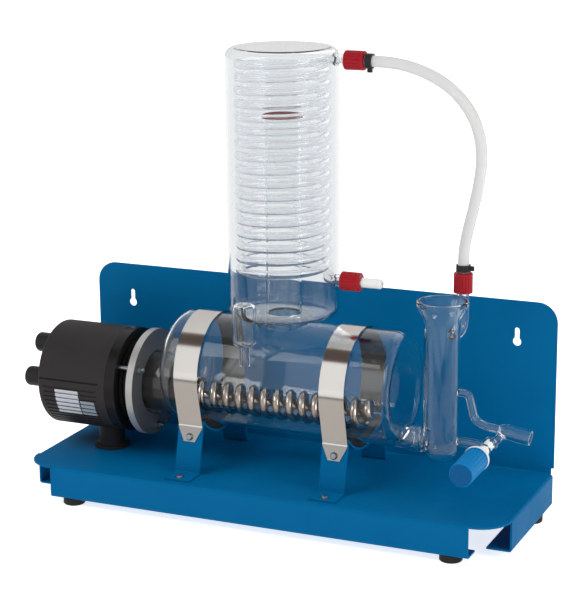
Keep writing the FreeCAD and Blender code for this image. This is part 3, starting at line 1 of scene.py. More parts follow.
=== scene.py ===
"""Looks of a glass water distiller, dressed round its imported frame.

Sizes are in metres and places are in the frame's own axes: x runs along the boiler, y
back to the panel, and z up from the bench. Drawing sizes, in millimetres from the
front edge of the stand's deck, pass through a Datum.
"""

import json
import logging
import math
from dataclasses import dataclass
from enum import Enum
from typing import Callable, Iterable, Sequence

import bmesh
import bpy
from mathutils import Matrix, Vector


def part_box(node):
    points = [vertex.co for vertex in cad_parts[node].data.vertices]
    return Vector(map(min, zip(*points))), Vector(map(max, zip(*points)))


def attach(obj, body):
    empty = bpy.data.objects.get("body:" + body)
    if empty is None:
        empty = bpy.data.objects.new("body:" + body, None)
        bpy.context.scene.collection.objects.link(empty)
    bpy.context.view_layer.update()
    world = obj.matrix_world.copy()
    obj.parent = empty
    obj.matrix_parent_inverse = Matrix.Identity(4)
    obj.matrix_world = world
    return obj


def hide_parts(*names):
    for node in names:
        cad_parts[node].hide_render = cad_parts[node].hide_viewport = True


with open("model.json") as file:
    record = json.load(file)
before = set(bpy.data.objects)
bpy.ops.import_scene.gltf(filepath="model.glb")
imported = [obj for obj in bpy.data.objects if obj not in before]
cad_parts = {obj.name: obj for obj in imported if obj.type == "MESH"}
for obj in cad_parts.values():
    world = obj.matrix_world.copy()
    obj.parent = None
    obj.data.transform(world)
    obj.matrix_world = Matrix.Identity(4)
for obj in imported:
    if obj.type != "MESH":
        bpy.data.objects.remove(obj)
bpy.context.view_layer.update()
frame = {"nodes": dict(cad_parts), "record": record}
LOG = logging.getLogger("distiller")
MM = 0.001
STILL = "still"
HEATER_AXIS = (98.0, 79.5)  # back and up, in drawing millimetres

# Sockets of a Mix node that blends colours, whose names aren't unique.
MIX_SHARE, MIX_FIRST, MIX_SECOND, MIX_RESULT = 0, 6, 7, 2

# How the broad patches and the fine grain of a coat show.
PATCHES_PER_METRE = 16.0
PATCH_CONTRAST = 2.2
SPECKLE_SHARE = 0.35
SMOOTHEST_SHARE, ROUGHEST_SHARE = 0.85, 1.2

Colour = tuple[float, float, float]
Stops = Sequence[tuple[float, Colour]]


class Texture(Enum):
    """Fine relief that an opaque finish can carry."""

    GRAIN = "grain"
    STREAKS = "streaks"


class Looking(Enum):
    """Outputs of the facing group, by the way that a flat face looks."""

    ALONG = "Along"
    DEEP = "Deep"


@dataclass(frozen=True)
class Datum:
    """Turns drawing sizes into places in the frame.

    Attributes:
        middle: x of the tray's middle.
        front: y of the tray's front face.
        deck: z of the deck's top.
    """

    middle: float
    front: float
    deck: float

    @classmethod
    def from_stand(cls, flange_height: float = 0.035) -> "Datum":
        """Reads the datum off the folded stand.

        Args:
            flange_height: From the turned-in lips up to the deck's top.

        Returns:
            The datum of this frame.
        """
        low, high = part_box("stand")
        return cls((low.x + high.x) / 2, low.y, low.z + flange_height)

    def at(self, x: float, y: float, z: float) -> Vector:
        """Returns the place of a drawing point given in millimetres."""
        return Vector((self.middle + x * MM, self.front + y * MM, self.deck + z * MM))


DATUM = Datum.from_stand()


class Graph:
    """A short way to write a shader node tree."""

    def __init__(self, tree: bpy.types.NodeTree) -> None:
        """Keeps the tree that the nodes go into."""
        self.tree = tree

    def add(self, kind: str, settings: dict | None = None,
            **inputs: object) -> bpy.types.Node:
        """Adds a node.

        Args:
            kind: The node's type, without its ShaderNode prefix.
            settings: Properties of the node itself.
            inputs: Values or sockets, by input name with spaces as underscores.

        Returns:
            The new node.
        """
        name = kind if kind.startswith("NodeGroup") else "ShaderNode" + kind
        node = self.tree.nodes.new(name)
        for key, value in (settings or {}).items():
            setattr(node, key, value)
        for key, value in inputs.items():
            self.feed(node, key.replace("_", " "), value)
        return node

    def feed(self, node: bpy.types.Node, socket: str | int, value: object) -> None:
        """Sets or links one input of a node."""
        target = node.inputs[socket]
        if isinstance(value, bpy.types.NodeSocket):
            self.tree.links.new(value, target)
        else:
            target.default_value = value

    def maths(self, operation: str, first: object,
              second: object = 0.0) -> bpy.types.NodeSocket:
        """Returns the result of a Math node."""
        node = self.add("Math", {"operation": operation})
        self.feed(node, 0, first)
        self.feed(node, 1, second)
        return node.outputs[0]

    def mix(self, share: object, first: object, second: object) -> bpy.types.NodeSocket:
        """Returns a colour between two others."""
        node = self.add("Mix", {"data_type": "RGBA"})
        self.feed(node, MIX_SHARE, share)
        self.feed(node, MIX_FIRST, first)
        self.feed(node, MIX_SECOND, second)
        return node.outputs[MIX_RESULT]

    def ramp(self, value: object, stops: Stops) -> bpy.types.NodeSocket:
        """Returns a colour read off a row of stops."""
        node = self.add("ValToRGB", Fac=value)
        elements = node.color_ramp.elements
        for place, colour in stops[1:-1]:
            elements.new(place).color = (*colour, 1)
        ends = ((elements[0], stops[0]), (elements[-1], stops[-1]))
        for element, (place, colour) in ends:
            element.position = place
            element.color = (*colour, 1)
        return node.outputs[0]

    def spread(self, value: object, low: float, high: float) -> bpy.types.NodeSocket:
        """Returns a 0 to 1 value mapped between two limits."""
        node = self.add("MapRange", Value=value, To_Min=low, To_Max=high)
        return node.outputs[0]


class EffectGroups:
    """Shader node groups that several finishes share, each built once."""

    def __init__(self) -> None:
        """Builds the groups."""
        relief = ("Height", "Mask")
        self.grain = self._build(
            "surface_grain", {"Scale": 900.0, "Detail": 4.0}, relief, self._grain)
        self.streaks = self._build(
            "brushed_streaks", {"Scale": 900.0, "Stretch": 40.0}, relief, self._streaks)
        self.clouds = self._build(
            "handling_clouds", {"Scale": 14.0, "Contrast": 1.0}, ("Mask",),
            self._clouds)
        self.edges = self._build(
            "highlit_and_scuffed_edges", {"Radius": 0.0008, "Strength": 1.0}, ("Mask",), self._edges)
        self.facing = self._build(
            "face_direction", {}, [way.value for way in Looking], self._facing)
        self.print_and_shade_patch = self._build(
            "print_and_shade_patch_on_drum", {"Left": 0.0, "Right": 0.0, "Low": 0.0, "High": 0.0,
                              "Axis Y": 0.0, "Axis Z": 0.0},
            ("Outer", "Inner"), self._print_and_shade_patch)

    @staticmethod
    def _build(name: str, inputs: dict[str, float], outputs: Iterable[str],
               fill: Callable) -> bpy.types.NodeTree:
        """Makes a group with its sockets and fills it.

        Args:
            name: The group's name.
            inputs: Input names with their defaults.
            outputs: Output names.
            fill: Called with the graph, group input and group output.

        Returns:
            The node group.
        """
        tree = bpy.data.node_groups.new(name, "ShaderNodeTree")
        for key, value in inputs.items():
            socket = tree.interface.new_socket(
                key, in_out="INPUT", socket_type="NodeSocketFloat")
            socket.default_value = value
        for key in outputs:
            tree.interface.new_socket(
                key, in_out="OUTPUT", socket_type="NodeSocketFloat")
        graph = Graph(tree)
        fill(graph, graph.add("NodeGroupInput"), graph.add("NodeGroupOutput"))
        return tree

    @staticmethod
    def _grain(graph: Graph, source: bpy.types.Node, sink: bpy.types.Node) -> None:
        """Fine even grain, as on powder coat and moulded plastic."""
        place = graph.add("TexCoord").outputs["Object"]
        noise = graph.add("TexNoise", Vector=place, Scale=source.outputs["Scale"],
                          Detail=source.outputs["Detail"], Roughness=0.6)
        cells = graph.add("TexVoronoi", {"feature": "SMOOTH_F1"}, Vector=place,
                          Scale=source.outputs["Scale"], Smoothness=0.8)
        blend = graph.maths("MULTIPLY", noise.outputs[0], cells.outputs["Distance"])
        graph.feed(sink, "Height", graph.maths("ADD", noise.outputs[0], blend))
        graph.feed(sink, "Mask", graph.spread(noise.outputs[0], -0.6, 1.6))

    @staticmethod
    def _streaks(graph: Graph, source: bpy.types.Node, sink: bpy.types.Node) -> None:
        """Fine lines round the boiler's axis, as on rolled and brushed strip."""
        place = graph.add("TexCoord").outputs["Object"]
        split = graph.add("SeparateXYZ", Vector=place)
        across = graph.maths("MULTIPLY", split.outputs[0], source.outputs["Stretch"])
        joined = graph.add("CombineXYZ", X=across, Y=split.outputs[1],
                           Z=split.outputs[2])
        scale = graph.maths("DIVIDE", source.outputs["Scale"],
                            source.outputs["Stretch"])
        noise = graph.add("TexNoise", Vector=joined.outputs[0], Scale=scale, Detail=5.0)
        graph.feed(sink, "Height", noise.outputs[0])
        graph.feed(sink, "Mask", graph.spread(noise.outputs[0], -0.8, 1.8))

    @staticmethod
    def _clouds(graph: Graph, source: bpy.types.Node, sink: bpy.types.Node) -> None:
        """Broad soft patches, as handling leaves on a surface."""
        place = graph.add("TexCoord").outputs["Object"]
        noise = graph.add("TexNoise", Vector=place, Scale=source.outputs["Scale"],
                          Detail=3.0)
        centred = graph.maths("SUBTRACT", noise.outputs[0], 0.5)
        scaled = graph.maths("MULTIPLY", centred, source.outputs["Contrast"])
        graph.feed(sink, "Mask", graph.maths("ADD", scaled, 0.5))

    @staticmethod
    def _edges(graph: Graph, source: bpy.types.Node, sink: bpy.types.Node) -> None:
        """Marks a narrow band along a piece's edges, for a painted highlight with
        scuffing.
        """
        bevel = graph.add("Bevel", {"samples": 4}, Radius=source.outputs["Radius"])
        plain = graph.add("NewGeometry").outputs["Normal"]
        match = graph.add("VectorMath", {"operation": "DOT_PRODUCT"})
        graph.feed(match, 0, bevel.outputs[0])
        graph.feed(match, 1, plain)
        turned = graph.maths("SUBTRACT", 1.0, match.outputs["Value"])
        sheen_and_scuff = graph.maths("MULTIPLY", turned, source.outputs["Strength"])
        graph.feed(sink, "Mask", graph.maths("MINIMUM", sheen_and_scuff, 1.0))

    @staticmethod
    def _facing(graph: Graph, source: bpy.types.Node, sink: bpy.types.Node) -> None:
        """Marks the flat faces that look along x and those that look along y."""
        normal = graph.add("NewGeometry").outputs["True Normal"]
        split = graph.add("SeparateXYZ", Vector=normal)
        for way, part in zip(Looking, split.outputs):
            graph.feed(sink, way.value, graph.maths(
                "GREATER_THAN", graph.maths("ABSOLUTE", part), 0.9))

    @staticmethod
    def _print_and_shade_patch(graph: Graph, source: bpy.types.Node, sink: bpy.types.Node) -> None:
        """Marks a rectangle on a drum whose axis runs along x, and its inner side."""
        shape = graph.add("NewGeometry")
        split = graph.add("SeparateXYZ", Vector=shape.outputs["Position"])
        forward = graph.maths("SUBTRACT", source.outputs["Axis Y"], split.outputs[1])
        upward = graph.maths("SUBTRACT", split.outputs[2], source.outputs["Axis Z"])
        turn = graph.maths("DEGREES", graph.maths("ARCTAN2", upward, forward))
        inside = 1.0
        sides = ((split.outputs[0], "Left", "Right"), (turn, "Low", "High"))
        for value, low, high in sides:
            above = graph.maths("GREATER_THAN", value, source.outputs[low])
            below = graph.maths("LESS_THAN", value, source.outputs[high])
            between = graph.maths("MULTIPLY", above, below)
            inside = graph.maths("MULTIPLY", inside, between)
        normal = graph.add("SeparateXYZ", Vector=shape.outputs["Normal"])
        level_part = graph.maths("MULTIPLY", forward, normal.outputs[1])
        upright_part = graph.maths("MULTIPLY", upward, normal.outputs[2])
        inward = graph.maths("SUBTRACT", level_part, upright_part)
        turned_in = graph.maths("GREATER_THAN", inward, 0.0)
        graph.feed(sink, "Inner", graph.maths("MULTIPLY", inside, turned_in))
        graph.feed(sink, "Outer", graph.maths(
            "MULTIPLY", inside, graph.maths("SUBTRACT", 1.0, turned_in)))


EFFECTS = EffectGroups()


def new_material(name: str) -> tuple[bpy.types.Material, Graph, bpy.types.Node]:
    """Makes a material with one Principled shader.

    Args:
        name: The material's name.

    Returns:
        The material, its graph and its Principled node.
    """
    material = bpy.data.materials.new(name)
    material.use_nodes = True
    material.node_tree.nodes.clear()
    graph = Graph(material.node_tree)
    shader = graph.add("BsdfPrincipled")
    output = graph.add("OutputMaterial")
    graph.feed(output, "Surface", shader.outputs[0])
    return material, graph, shader


@dataclass(frozen=True)
class PrintAndShadePatch:
    """A patch on a piece that goes round the heater's axis, for printed labels and for
    painted shade and reflections.

    Attributes:
        left: Its left end, in drawing millimetres.
        right: Its right end.
        low: Its lower edge, in degrees above the drum's front.
        high: Its upper edge.
        colour: Its colour.
        side: The side of the sheet that it lies on, Outer or Inner.
    """

    left: float
    right: float
    low: float
    high: float
    colour: Colour
    side: str = "Outer"

    def mask(self, graph: Graph) -> bpy.types.NodeSocket:
        """Returns where the patch lies."""
        near = DATUM.at(self.left, *HEATER_AXIS)
        far = DATUM.at(self.right, *HEATER_AXIS)
        group = graph.add("Group", {"node_tree": EFFECTS.print_and_shade_patch}, Left=near.x,
                          Right=far.x, Low=self.low, High=self.high,
                          Axis_Y=near.y, Axis_Z=near.z)
        return group.outputs[self.side]


@dataclass(frozen=True)
class Coat:
    """An opaque finish with grain, clouding and edges lightened by painted highlight
    and scuffing.

    Attributes:
        name: The material's name.
        colour: Its main colour.
        shade: The colour that it drifts to in patches.
        roughness: Middle roughness.
        metallic: 1 for bare metal.
        grain_scale: Grains per metre, about.
        grain_depth: Height of the grain.
        drift: How much of the shade colour shows.
        edge_sheen_and_wear: How strongly the edges are lightened, by painted highlight
            and scuffing.
        edge: The colour along the edges, a painted highlight with scuffing.
        specular: Strength of the plain reflection of a finish that isn't metal.
        texture: The relief that it carries.
        face: A darker colour painted as shade on the flat faces that look one way, and
            that way.
        print_and_shade_patches: Patches of other colours on it, printed labels and
            painted shade and reflections.
    """

    name: str
    colour: Colour
    shade: Colour
    roughness: float
    metallic: float = 0.0
    grain_scale: float = 900.0
    grain_depth: float = 0.00004
    drift: float = 0.5
    edge_sheen_and_wear: float = 0.0
    edge: Colour = (1.0, 1.0, 1.0)
    specular: float = 0.5
    texture: Texture = Texture.GRAIN
    face: tuple[Looking, Colour] | None = None
    print_and_shade_patches: tuple[PrintAndShadePatch, ...] = ()

    def build(self) -> bpy.types.Material:
        """Returns the finished material."""
        material, graph, shader = new_material(self.name)
        grain = graph.add("Group", {"node_tree": getattr(EFFECTS, self.texture.value)},
                          Scale=self.grain_scale)
        clouds = graph.add("Group", {"node_tree": EFFECTS.clouds},
                           Scale=PATCHES_PER_METRE, Contrast=PATCH_CONTRAST)
        patch = graph.maths("MULTIPLY", clouds.outputs["Mask"], self.drift)
        base = graph.mix(patch, (*self.colour, 1), (*self.shade, 1))
        speckle = graph.maths(
            "MULTIPLY", grain.outputs["Mask"], SPECKLE_SHARE * self.drift)
        colour = graph.mix(speckle, base, (*self.shade, 1))
        # Lighter colour along the edges: a painted highlight on edges, folds and rims,
        # with scuffing.
        if self.edge_sheen_and_wear:
            edges = graph.add("Group", {"node_tree": EFFECTS.edges}, Strength=self.edge_sheen_and_wear)
            colour = graph.mix(edges.outputs["Mask"], colour, (*self.edge, 1))
        # Darker colour on the flat faces that look one way: painted shade.
        if self.face:
            way, painted_shade_colour = self.face
            facing = graph.add("Group", {"node_tree": EFFECTS.facing})
            colour = graph.mix(facing.outputs[way.value], colour, (*painted_shade_colour, 1))
        # Patches: printed labels, and painted shade and reflections.
        for print_and_shade_patch in self.print_and_shade_patches:
            colour = graph.mix(print_and_shade_patch.mask(graph), colour, (*print_and_shade_patch.colour, 1))
        graph.feed(shader, "Base Color", colour)
        rough = graph.spread(clouds.outputs["Mask"], self.roughness * SMOOTHEST_SHARE,
                             min(1.0, self.roughness * ROUGHEST_SHARE))
        graph.feed(shader, "Roughness", rough)
        shader.inputs["Metallic"].default_value = self.metallic
        shader.inputs["Specular IOR Level"].default_value = self.specular
        bump = graph.add("Bump", Height=grain.outputs["Height"], Strength=0.5,
                         Distance=self.grain_depth)
        graph.feed(shader, "Normal", bump.outputs[0])
        return material


@dataclass(frozen=True)
class Glass:
    """Clear blown glass with a faint waviness.

    Attributes:
        name: The material's name.
        tint: Colour that the glass passes.
        index: Refractive index, lowered to stand for how thin the wall is.
        waves: Waves per metre, about.
        ripple: Height of the waviness.
    """

    name: str
    tint: Colour = (0.985, 0.995, 0.99)
    index: float = 1.36
    waves: float = 24.0
    ripple: float = 0.00006

    def build(self) -> bpy.types.Material:
        """Returns the finished material."""
        material, graph, shader = new_material(self.name)
        shader.inputs["Transmission Weight"].default_value = 1.0
        shader.inputs["IOR"].default_value = self.index
        shader.inputs["Base Color"].default_value = (*self.tint, 1)
        shader.inputs["Roughness"].default_value = 0.0
        place = graph.add("TexCoord").outputs["Object"]
        noise = graph.add("TexNoise", Vector=place, Scale=self.waves, Detail=1.0)
        bump = graph.add("Bump", Height=noise.outputs[0], Strength=0.35,
                         Distance=self.ripple)
        graph.feed(shader, "Normal", bump.outputs[0])
        return material


@dataclass(frozen=True)
class Silicone:
    """Milky silicone rubber that lets some light through.

    Attributes:
        name: The material's name.
        colour: Its body colour.
        through: How much light passes it.
        scatter: How much light spreads inside it.
        depth: How far that light spreads.
        cloud: How much of its darker patches shows.
    """

    name: str
    colour: Colour = (0.79, 0.79, 0.775)
    through: float = 0.25
    scatter: float = 0.35
    depth: float = 0.006
    cloud: float = 0.3

    def build(self) -> bpy.types.Material:
        """Returns the finished material."""
        material, graph, shader = new_material(self.name)
        clouds = graph.add("Group", {"node_tree": EFFECTS.clouds},
                           Scale=60.0, Contrast=1.6)
        darker = [part * 0.9 for part in self.colour]
        patch = graph.maths("MULTIPLY", clouds.outputs["Mask"], self.cloud)
        colour = graph.mix(patch, (*self.colour, 1), (*darker, 1))
        graph.feed(shader, "Base Color", colour)
        shader.inputs["Roughness"].default_value = 0.38
        shader.inputs["Transmission Weight"].default_value = self.through
        shader.inputs["IOR"].default_value = 1.41
        shader.inputs["Subsurface Weight"].default_value = self.scatter
        shader.inputs["Subsurface Radius"].default_value = (self.depth,) * 3
        grain = graph.add("Group", {"node_tree": EFFECTS.grain}, Scale=400.0)
        bump = graph.add("Bump", Height=grain.outputs["Height"], Strength=0.2,
                         Distance=0.00005)
        graph.feed(shader, "Normal", bump.outputs[0])
        return material


# Lighter edge colours below are a painted highlight along edges, folds and rims, with
# scuffing.
BLUE_PAINT = Coat(
    "blue_powder_coat", (0.0, 0.122, 0.298), (0.0, 0.104, 0.264), 0.5,
    grain_scale=1500.0, grain_depth=0.00005, drift=0.45, edge_sheen_and_wear=0.8,
    edge=(0.002, 0.18, 0.40), specular=0.04)
# The darker band below the strip's front is a painted reflection; its dark inner side
# is painted shade.
STRAP_STEEL = Coat(
    "stainless_strip", (0.74, 0.71, 0.68), (0.66, 0.63, 0.60), 0.14, metallic=1.0,
    grain_scale=5200.0, grain_depth=0.000004, drift=0.4, texture=Texture.STREAKS,
    print_and_shade_patches=(PrintAndShadePatch(-130, 130, -45, -29.0, (0.36, 0.345, 0.33)),
            PrintAndShadePatch(-130, 130, -180, 180, (0.11, 0.11, 0.115), "Inner")))
ELEMENT_METAL = Coat(
    "nickel_sheath", (0.42, 0.37, 0.34), (0.27, 0.22, 0.19), 0.13, metallic=1.0,
    grain_scale=1200.0, grain_depth=0.00001, drift=0.6)
# Its light rim is a painted highlight, and its dark faces that look along x are painted
# shade.
RING_METAL = Coat(
    "turned_gunmetal", (0.52, 0.51, 0.50), (0.44, 0.43, 0.42), 0.34, metallic=0.6,
    grain_scale=2500.0, grain_depth=0.00002, drift=0.5, edge_sheen_and_wear=0.6,
    edge=(0.7, 0.68, 0.64), face=(Looking.ALONG, (0.14, 0.145, 0.155)))
SCREW_STEEL = Coat(
    "screw_steel", (0.36, 0.40, 0.44), (0.24, 0.28, 0.34), 0.3, metallic=1.0,
    grain_scale=1800.0, grain_depth=0.00002, drift=0.5, edge_sheen_and_wear=0.6, edge=(0.7, 0.7, 0.7))
# The two pale patches are printed labels; the thin black band is painted shade in a
# slot.
COVER_PLASTIC = Coat(
    "textured_black_cover", (0.024, 0.0205, 0.021), (0.034, 0.030, 0.030), 0.5,
    grain_scale=1300.0, grain_depth=0.00007, drift=0.6, edge_sheen_and_wear=0.5,
    edge=(0.07, 0.07, 0.07), specular=0.2,
    print_and_shade_patches=(PrintAndShadePatch(-254.5, -225.5, -36, -4, (0.50, 0.52, 0.56)),
            PrintAndShadePatch(-224, -206.5, -35.5, -15, (0.26, 0.30, 0.34)),
            PrintAndShadePatch(-274, -200, 5.6, 7.4, (0.003, 0.003, 0.003))))
BASE_PLASTIC = Coat(
    "moulded_black_base", (0.009, 0.009, 0.010), (0.014, 0.013, 0.013), 0.26,
    grain_scale=1300.0, grain_depth=0.00001, drift=0.5, edge_sheen_and_wear=0.3,
    edge=(0.05, 0.05, 0.05), specular=0.2)
BLACK_PLASTIC = Coat(
    "black_plastic", (0.016, 0.015, 0.015), (0.024, 0.022, 0.022), 0.38,
    grain_scale=1600.0, grain_depth=0.00003, drift=0.5, edge_sheen_and_wear=0.4,
    edge=(0.06, 0.06, 0.06), specular=0.25)
RUBBER = Coat(
    "black_rubber", (0.012, 0.012, 0.013), (0.02, 0.02, 0.02), 0.62,
    grain_scale=1100.0, grain_depth=0.00006, drift=0.6, specular=0.3)
RED_PLASTIC = Coat(
    "red_cap_plastic", (0.38, 0.004, 0.014), (0.26, 0.003, 0.010), 0.34,
    grain_scale=1500.0, grain_depth=0.00003, drift=0.5, edge_sheen_and_wear=0.5,
    edge=(0.52, 0.04, 0.05), specular=0.25)
RING_PLASTIC = Coat(
    "dark_red_ring", (0.15, 0.006, 0.012), (0.11, 0.004, 0.008), 0.4,
    grain_scale=1500.0, grain_depth=0.00003, drift=0.5, edge_sheen_and_wear=0.4,
    edge=(0.25, 0.03, 0.03), specular=0.25)
WHITE_PLASTIC = Coat(
    "white_fluoropolymer", (0.80, 0.80, 0.78), (0.72, 0.72, 0.70), 0.42,
    grain_scale=1300.0, grain_depth=0.00003, drift=0.4)
# Its darker faces that look along y are painted shade, and its lighter edges a painted
# highlight.
KNOB_PLASTIC = Coat(
    "blue_knob_plastic", (0.002, 0.19, 0.46), (0.001, 0.15, 0.40), 0.36,
    grain_scale=1500.0, grain_depth=0.00003, drift=0.4, edge_sheen_and_wear=0.5,
    edge=(0.03, 0.30, 0.60), specular=0.1, face=(Looking.DEEP, (0.001, 0.085, 0.24)))
CLEAR_GLASS = Glass("borosilicate_glass")
JACKET_GLASS = Glass("condenser_glass", (0.88, 0.895, 0.905), 1.35)
COIL_GLASS = Glass("coil_glass", (0.94, 0.945, 0.955))
SLEEVE = Glass("clear_sleeve", (0.95, 0.95, 0.94))
SILICONE_HOSE = Silicone("milky_silicone")
SILICONE_SEAL = Silicone("clear_silicone", (0.90, 0.90, 0.88), 0.7)

Finish = Coat | Glass | Silicone
FINISH_OF_SLOT: dict[str, Finish] = {
    "stand_paint": BLUE_PAINT, "cradle_paint": BLUE_PAINT, "rubber": RUBBER,
    "screw_steel": SCREW_STEEL, "strap_steel": STRAP_STEEL, "glass": CLEAR_GLASS,
    "red_plastic": RED_PLASTIC, "white_plastic": WHITE_PLASTIC,
    "silicone": SILICONE_SEAL, "clip_plastic": BLACK_PLASTIC,
    "knob_plastic": KNOB_PLASTIC, "element_metal": ELEMENT_METAL,
    "flange_metal": RING_METAL, "cover_plastic": COVER_PLASTIC,
    "reset_plastic": BLACK_PLASTIC, "button_plastic": RED_PLASTIC,
    "clear_sleeve": SLEEVE,
}
FINISH_OF_NODE: dict[str, Finish] = {
    "condenser_jacket": JACKET_GLASS, "condenser_coil": COIL_GLASS,
    "cover_base": BASE_PLASTIC, "heater_head": BASE_PLASTIC,
    "vapour_tube_ring": RING_PLASTIC,
}


class Workshop:
    """Makes each finish once and dresses pieces in it."""

    def __init__(self) -> None:
        """Starts with no materials made."""
        self._materials: dict[str, bpy.types.Material] = {}

    def material(self, finish: Finish) -> bpy.types.Material:
        """Returns a finish's material, made at its first use."""
        if finish.name not in self._materials:
            self._materials[finish.name] = finish.build()
        return self._materials[finish.name]

    def dress(self, piece: bpy.types.Object, finish: Finish) -> None:
        """Gives a piece one finish all over, and lets light through glass."""
        piece.data.materials.clear()
        piece.data.materials.append(self.material(finish))
        if isinstance(finish, Glass):
            piece.visible_shadow = False


SHOP = Workshop()


@dataclass
class CoolingHose:
    """The silicone hose from the condenser down to the level device.

    Attributes:
        diameter: Outer diameter.
        length: Real length.
        route: Points of its line, in drawing millimetres.
    """

    diameter: float = 0.012
    length: float = 0.308
    route: tuple[tuple[float, float, float], ...] = (
        (91.4, 98, 446), (112, 98, 446), (137, 98, 443), (163, 98, 434.5),
        (185, 98.5, 421), (202, 100, 402), (211.5, 103.5, 379), (213.5, 108.5, 353),
        (209, 114.5, 327), (202, 120.5, 301), (195, 126, 278), (190, 130, 261),
        (187, 133, 244), (187, 133, 226.4))

    def build(self) -> None:
        curve = bpy.data.curves.new("hose_of_silicone", "CURVE")
        curve.dimensions = "3D"
        curve.bevel_depth = self.diameter / 2
        curve.bevel_resolution = 8
        curve.resolution_u = 16
        spline = curve.splines.new("NURBS")
        spline.points.add(len(self.route) - 1)
        for knot, point in zip(spline.points, self.route):
            knot.co = (*DATUM.at(*point), 1)
        spline.order_u = 3
        spline.use_endpoint_u = True
        piece = bpy.data.objects.new("hose_of_silicone", curve)
        bpy.context.scene.collection.objects.link(piece)
        curve.materials.append(SHOP.material(SILICONE_HOSE))
        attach(piece, STILL)
        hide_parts("cooling_hose")
        DATUM.at(*self.route[0])
        LOG.info("hose: %.0f mm", self.length / MM)


@dataclass
class Frame:
    """The nodes that keep their own shapes and get finishes.

    Attributes:
        coil_wall: Wall of the condenser's coil.
        seam_gap: Widest gap between the coil's faces that is closed before that.
        smooth_angle: Sharpest angle, in degrees, that is shaded smooth.
    """

    coil_wall: float = 0.0011
    seam_gap: float = 0.00002
    smooth_angle: float = 30.0

    def dress(self) -> None:
        """Gives every shown node the finish of its slot."""
        slots = {row["node"]: row["material_slot"]
                 for row in frame["record"]["subparts"]}
        for name, node in frame["nodes"].items():
            finish = FINISH_OF_NODE.get(name) or FINISH_OF_SLOT[slots[name]]
            SHOP.dress(node, finish)
            node.data.shade_smooth()
            node.data.set_sharp_from_angle(angle=math.radians(self.smooth_angle))
            LOG.info("%s: %s", name, finish.name)
        self._hollow_coil()

    def _hollow_coil(self) -> None:
        """Gives the condenser's coil the bore that it has in life."""
        coil = frame["nodes"]["condenser_coil"]
        weld = coil.modifiers.new("seams", "WELD")
        weld.merge_threshold = self.seam_gap
        shell = coil.modifiers.new("bore", "SOLIDIFY")
        shell.thickness = self.coil_wall
        shell.offset = -1.0
        shell.use_even_offset = True


@dataclass(frozen=True)
class Lamp:
    """A square lamp that shiny pieces don't mirror.

    Attributes:
        name: The lamp's name.
        offset: Where it hangs, from the point that it faces.
        size: Its side.
        power: Its power in watts.
    """

    name: str
    offset: tuple[float, float, float]
    size: float
    power: float

    def hang(self, aim: Vector) -> None:
        """Hangs the lamp so that it faces a point."""
        light = bpy.data.lights.new(self.name, "AREA")
        light.energy = self.power
        light.size = self.size
        holder = bpy.data.objects.new(self.name, light)
        holder.location = aim + Vector(self.offset)
        holder.visible_glossy = False
        holder.rotation_mode = "QUATERNION"
        holder.rotation_quaternion = (-Vector(self.offset)).to_track_quat("-Z", "Y")
        bpy.context.scene.collection.objects.link(holder)


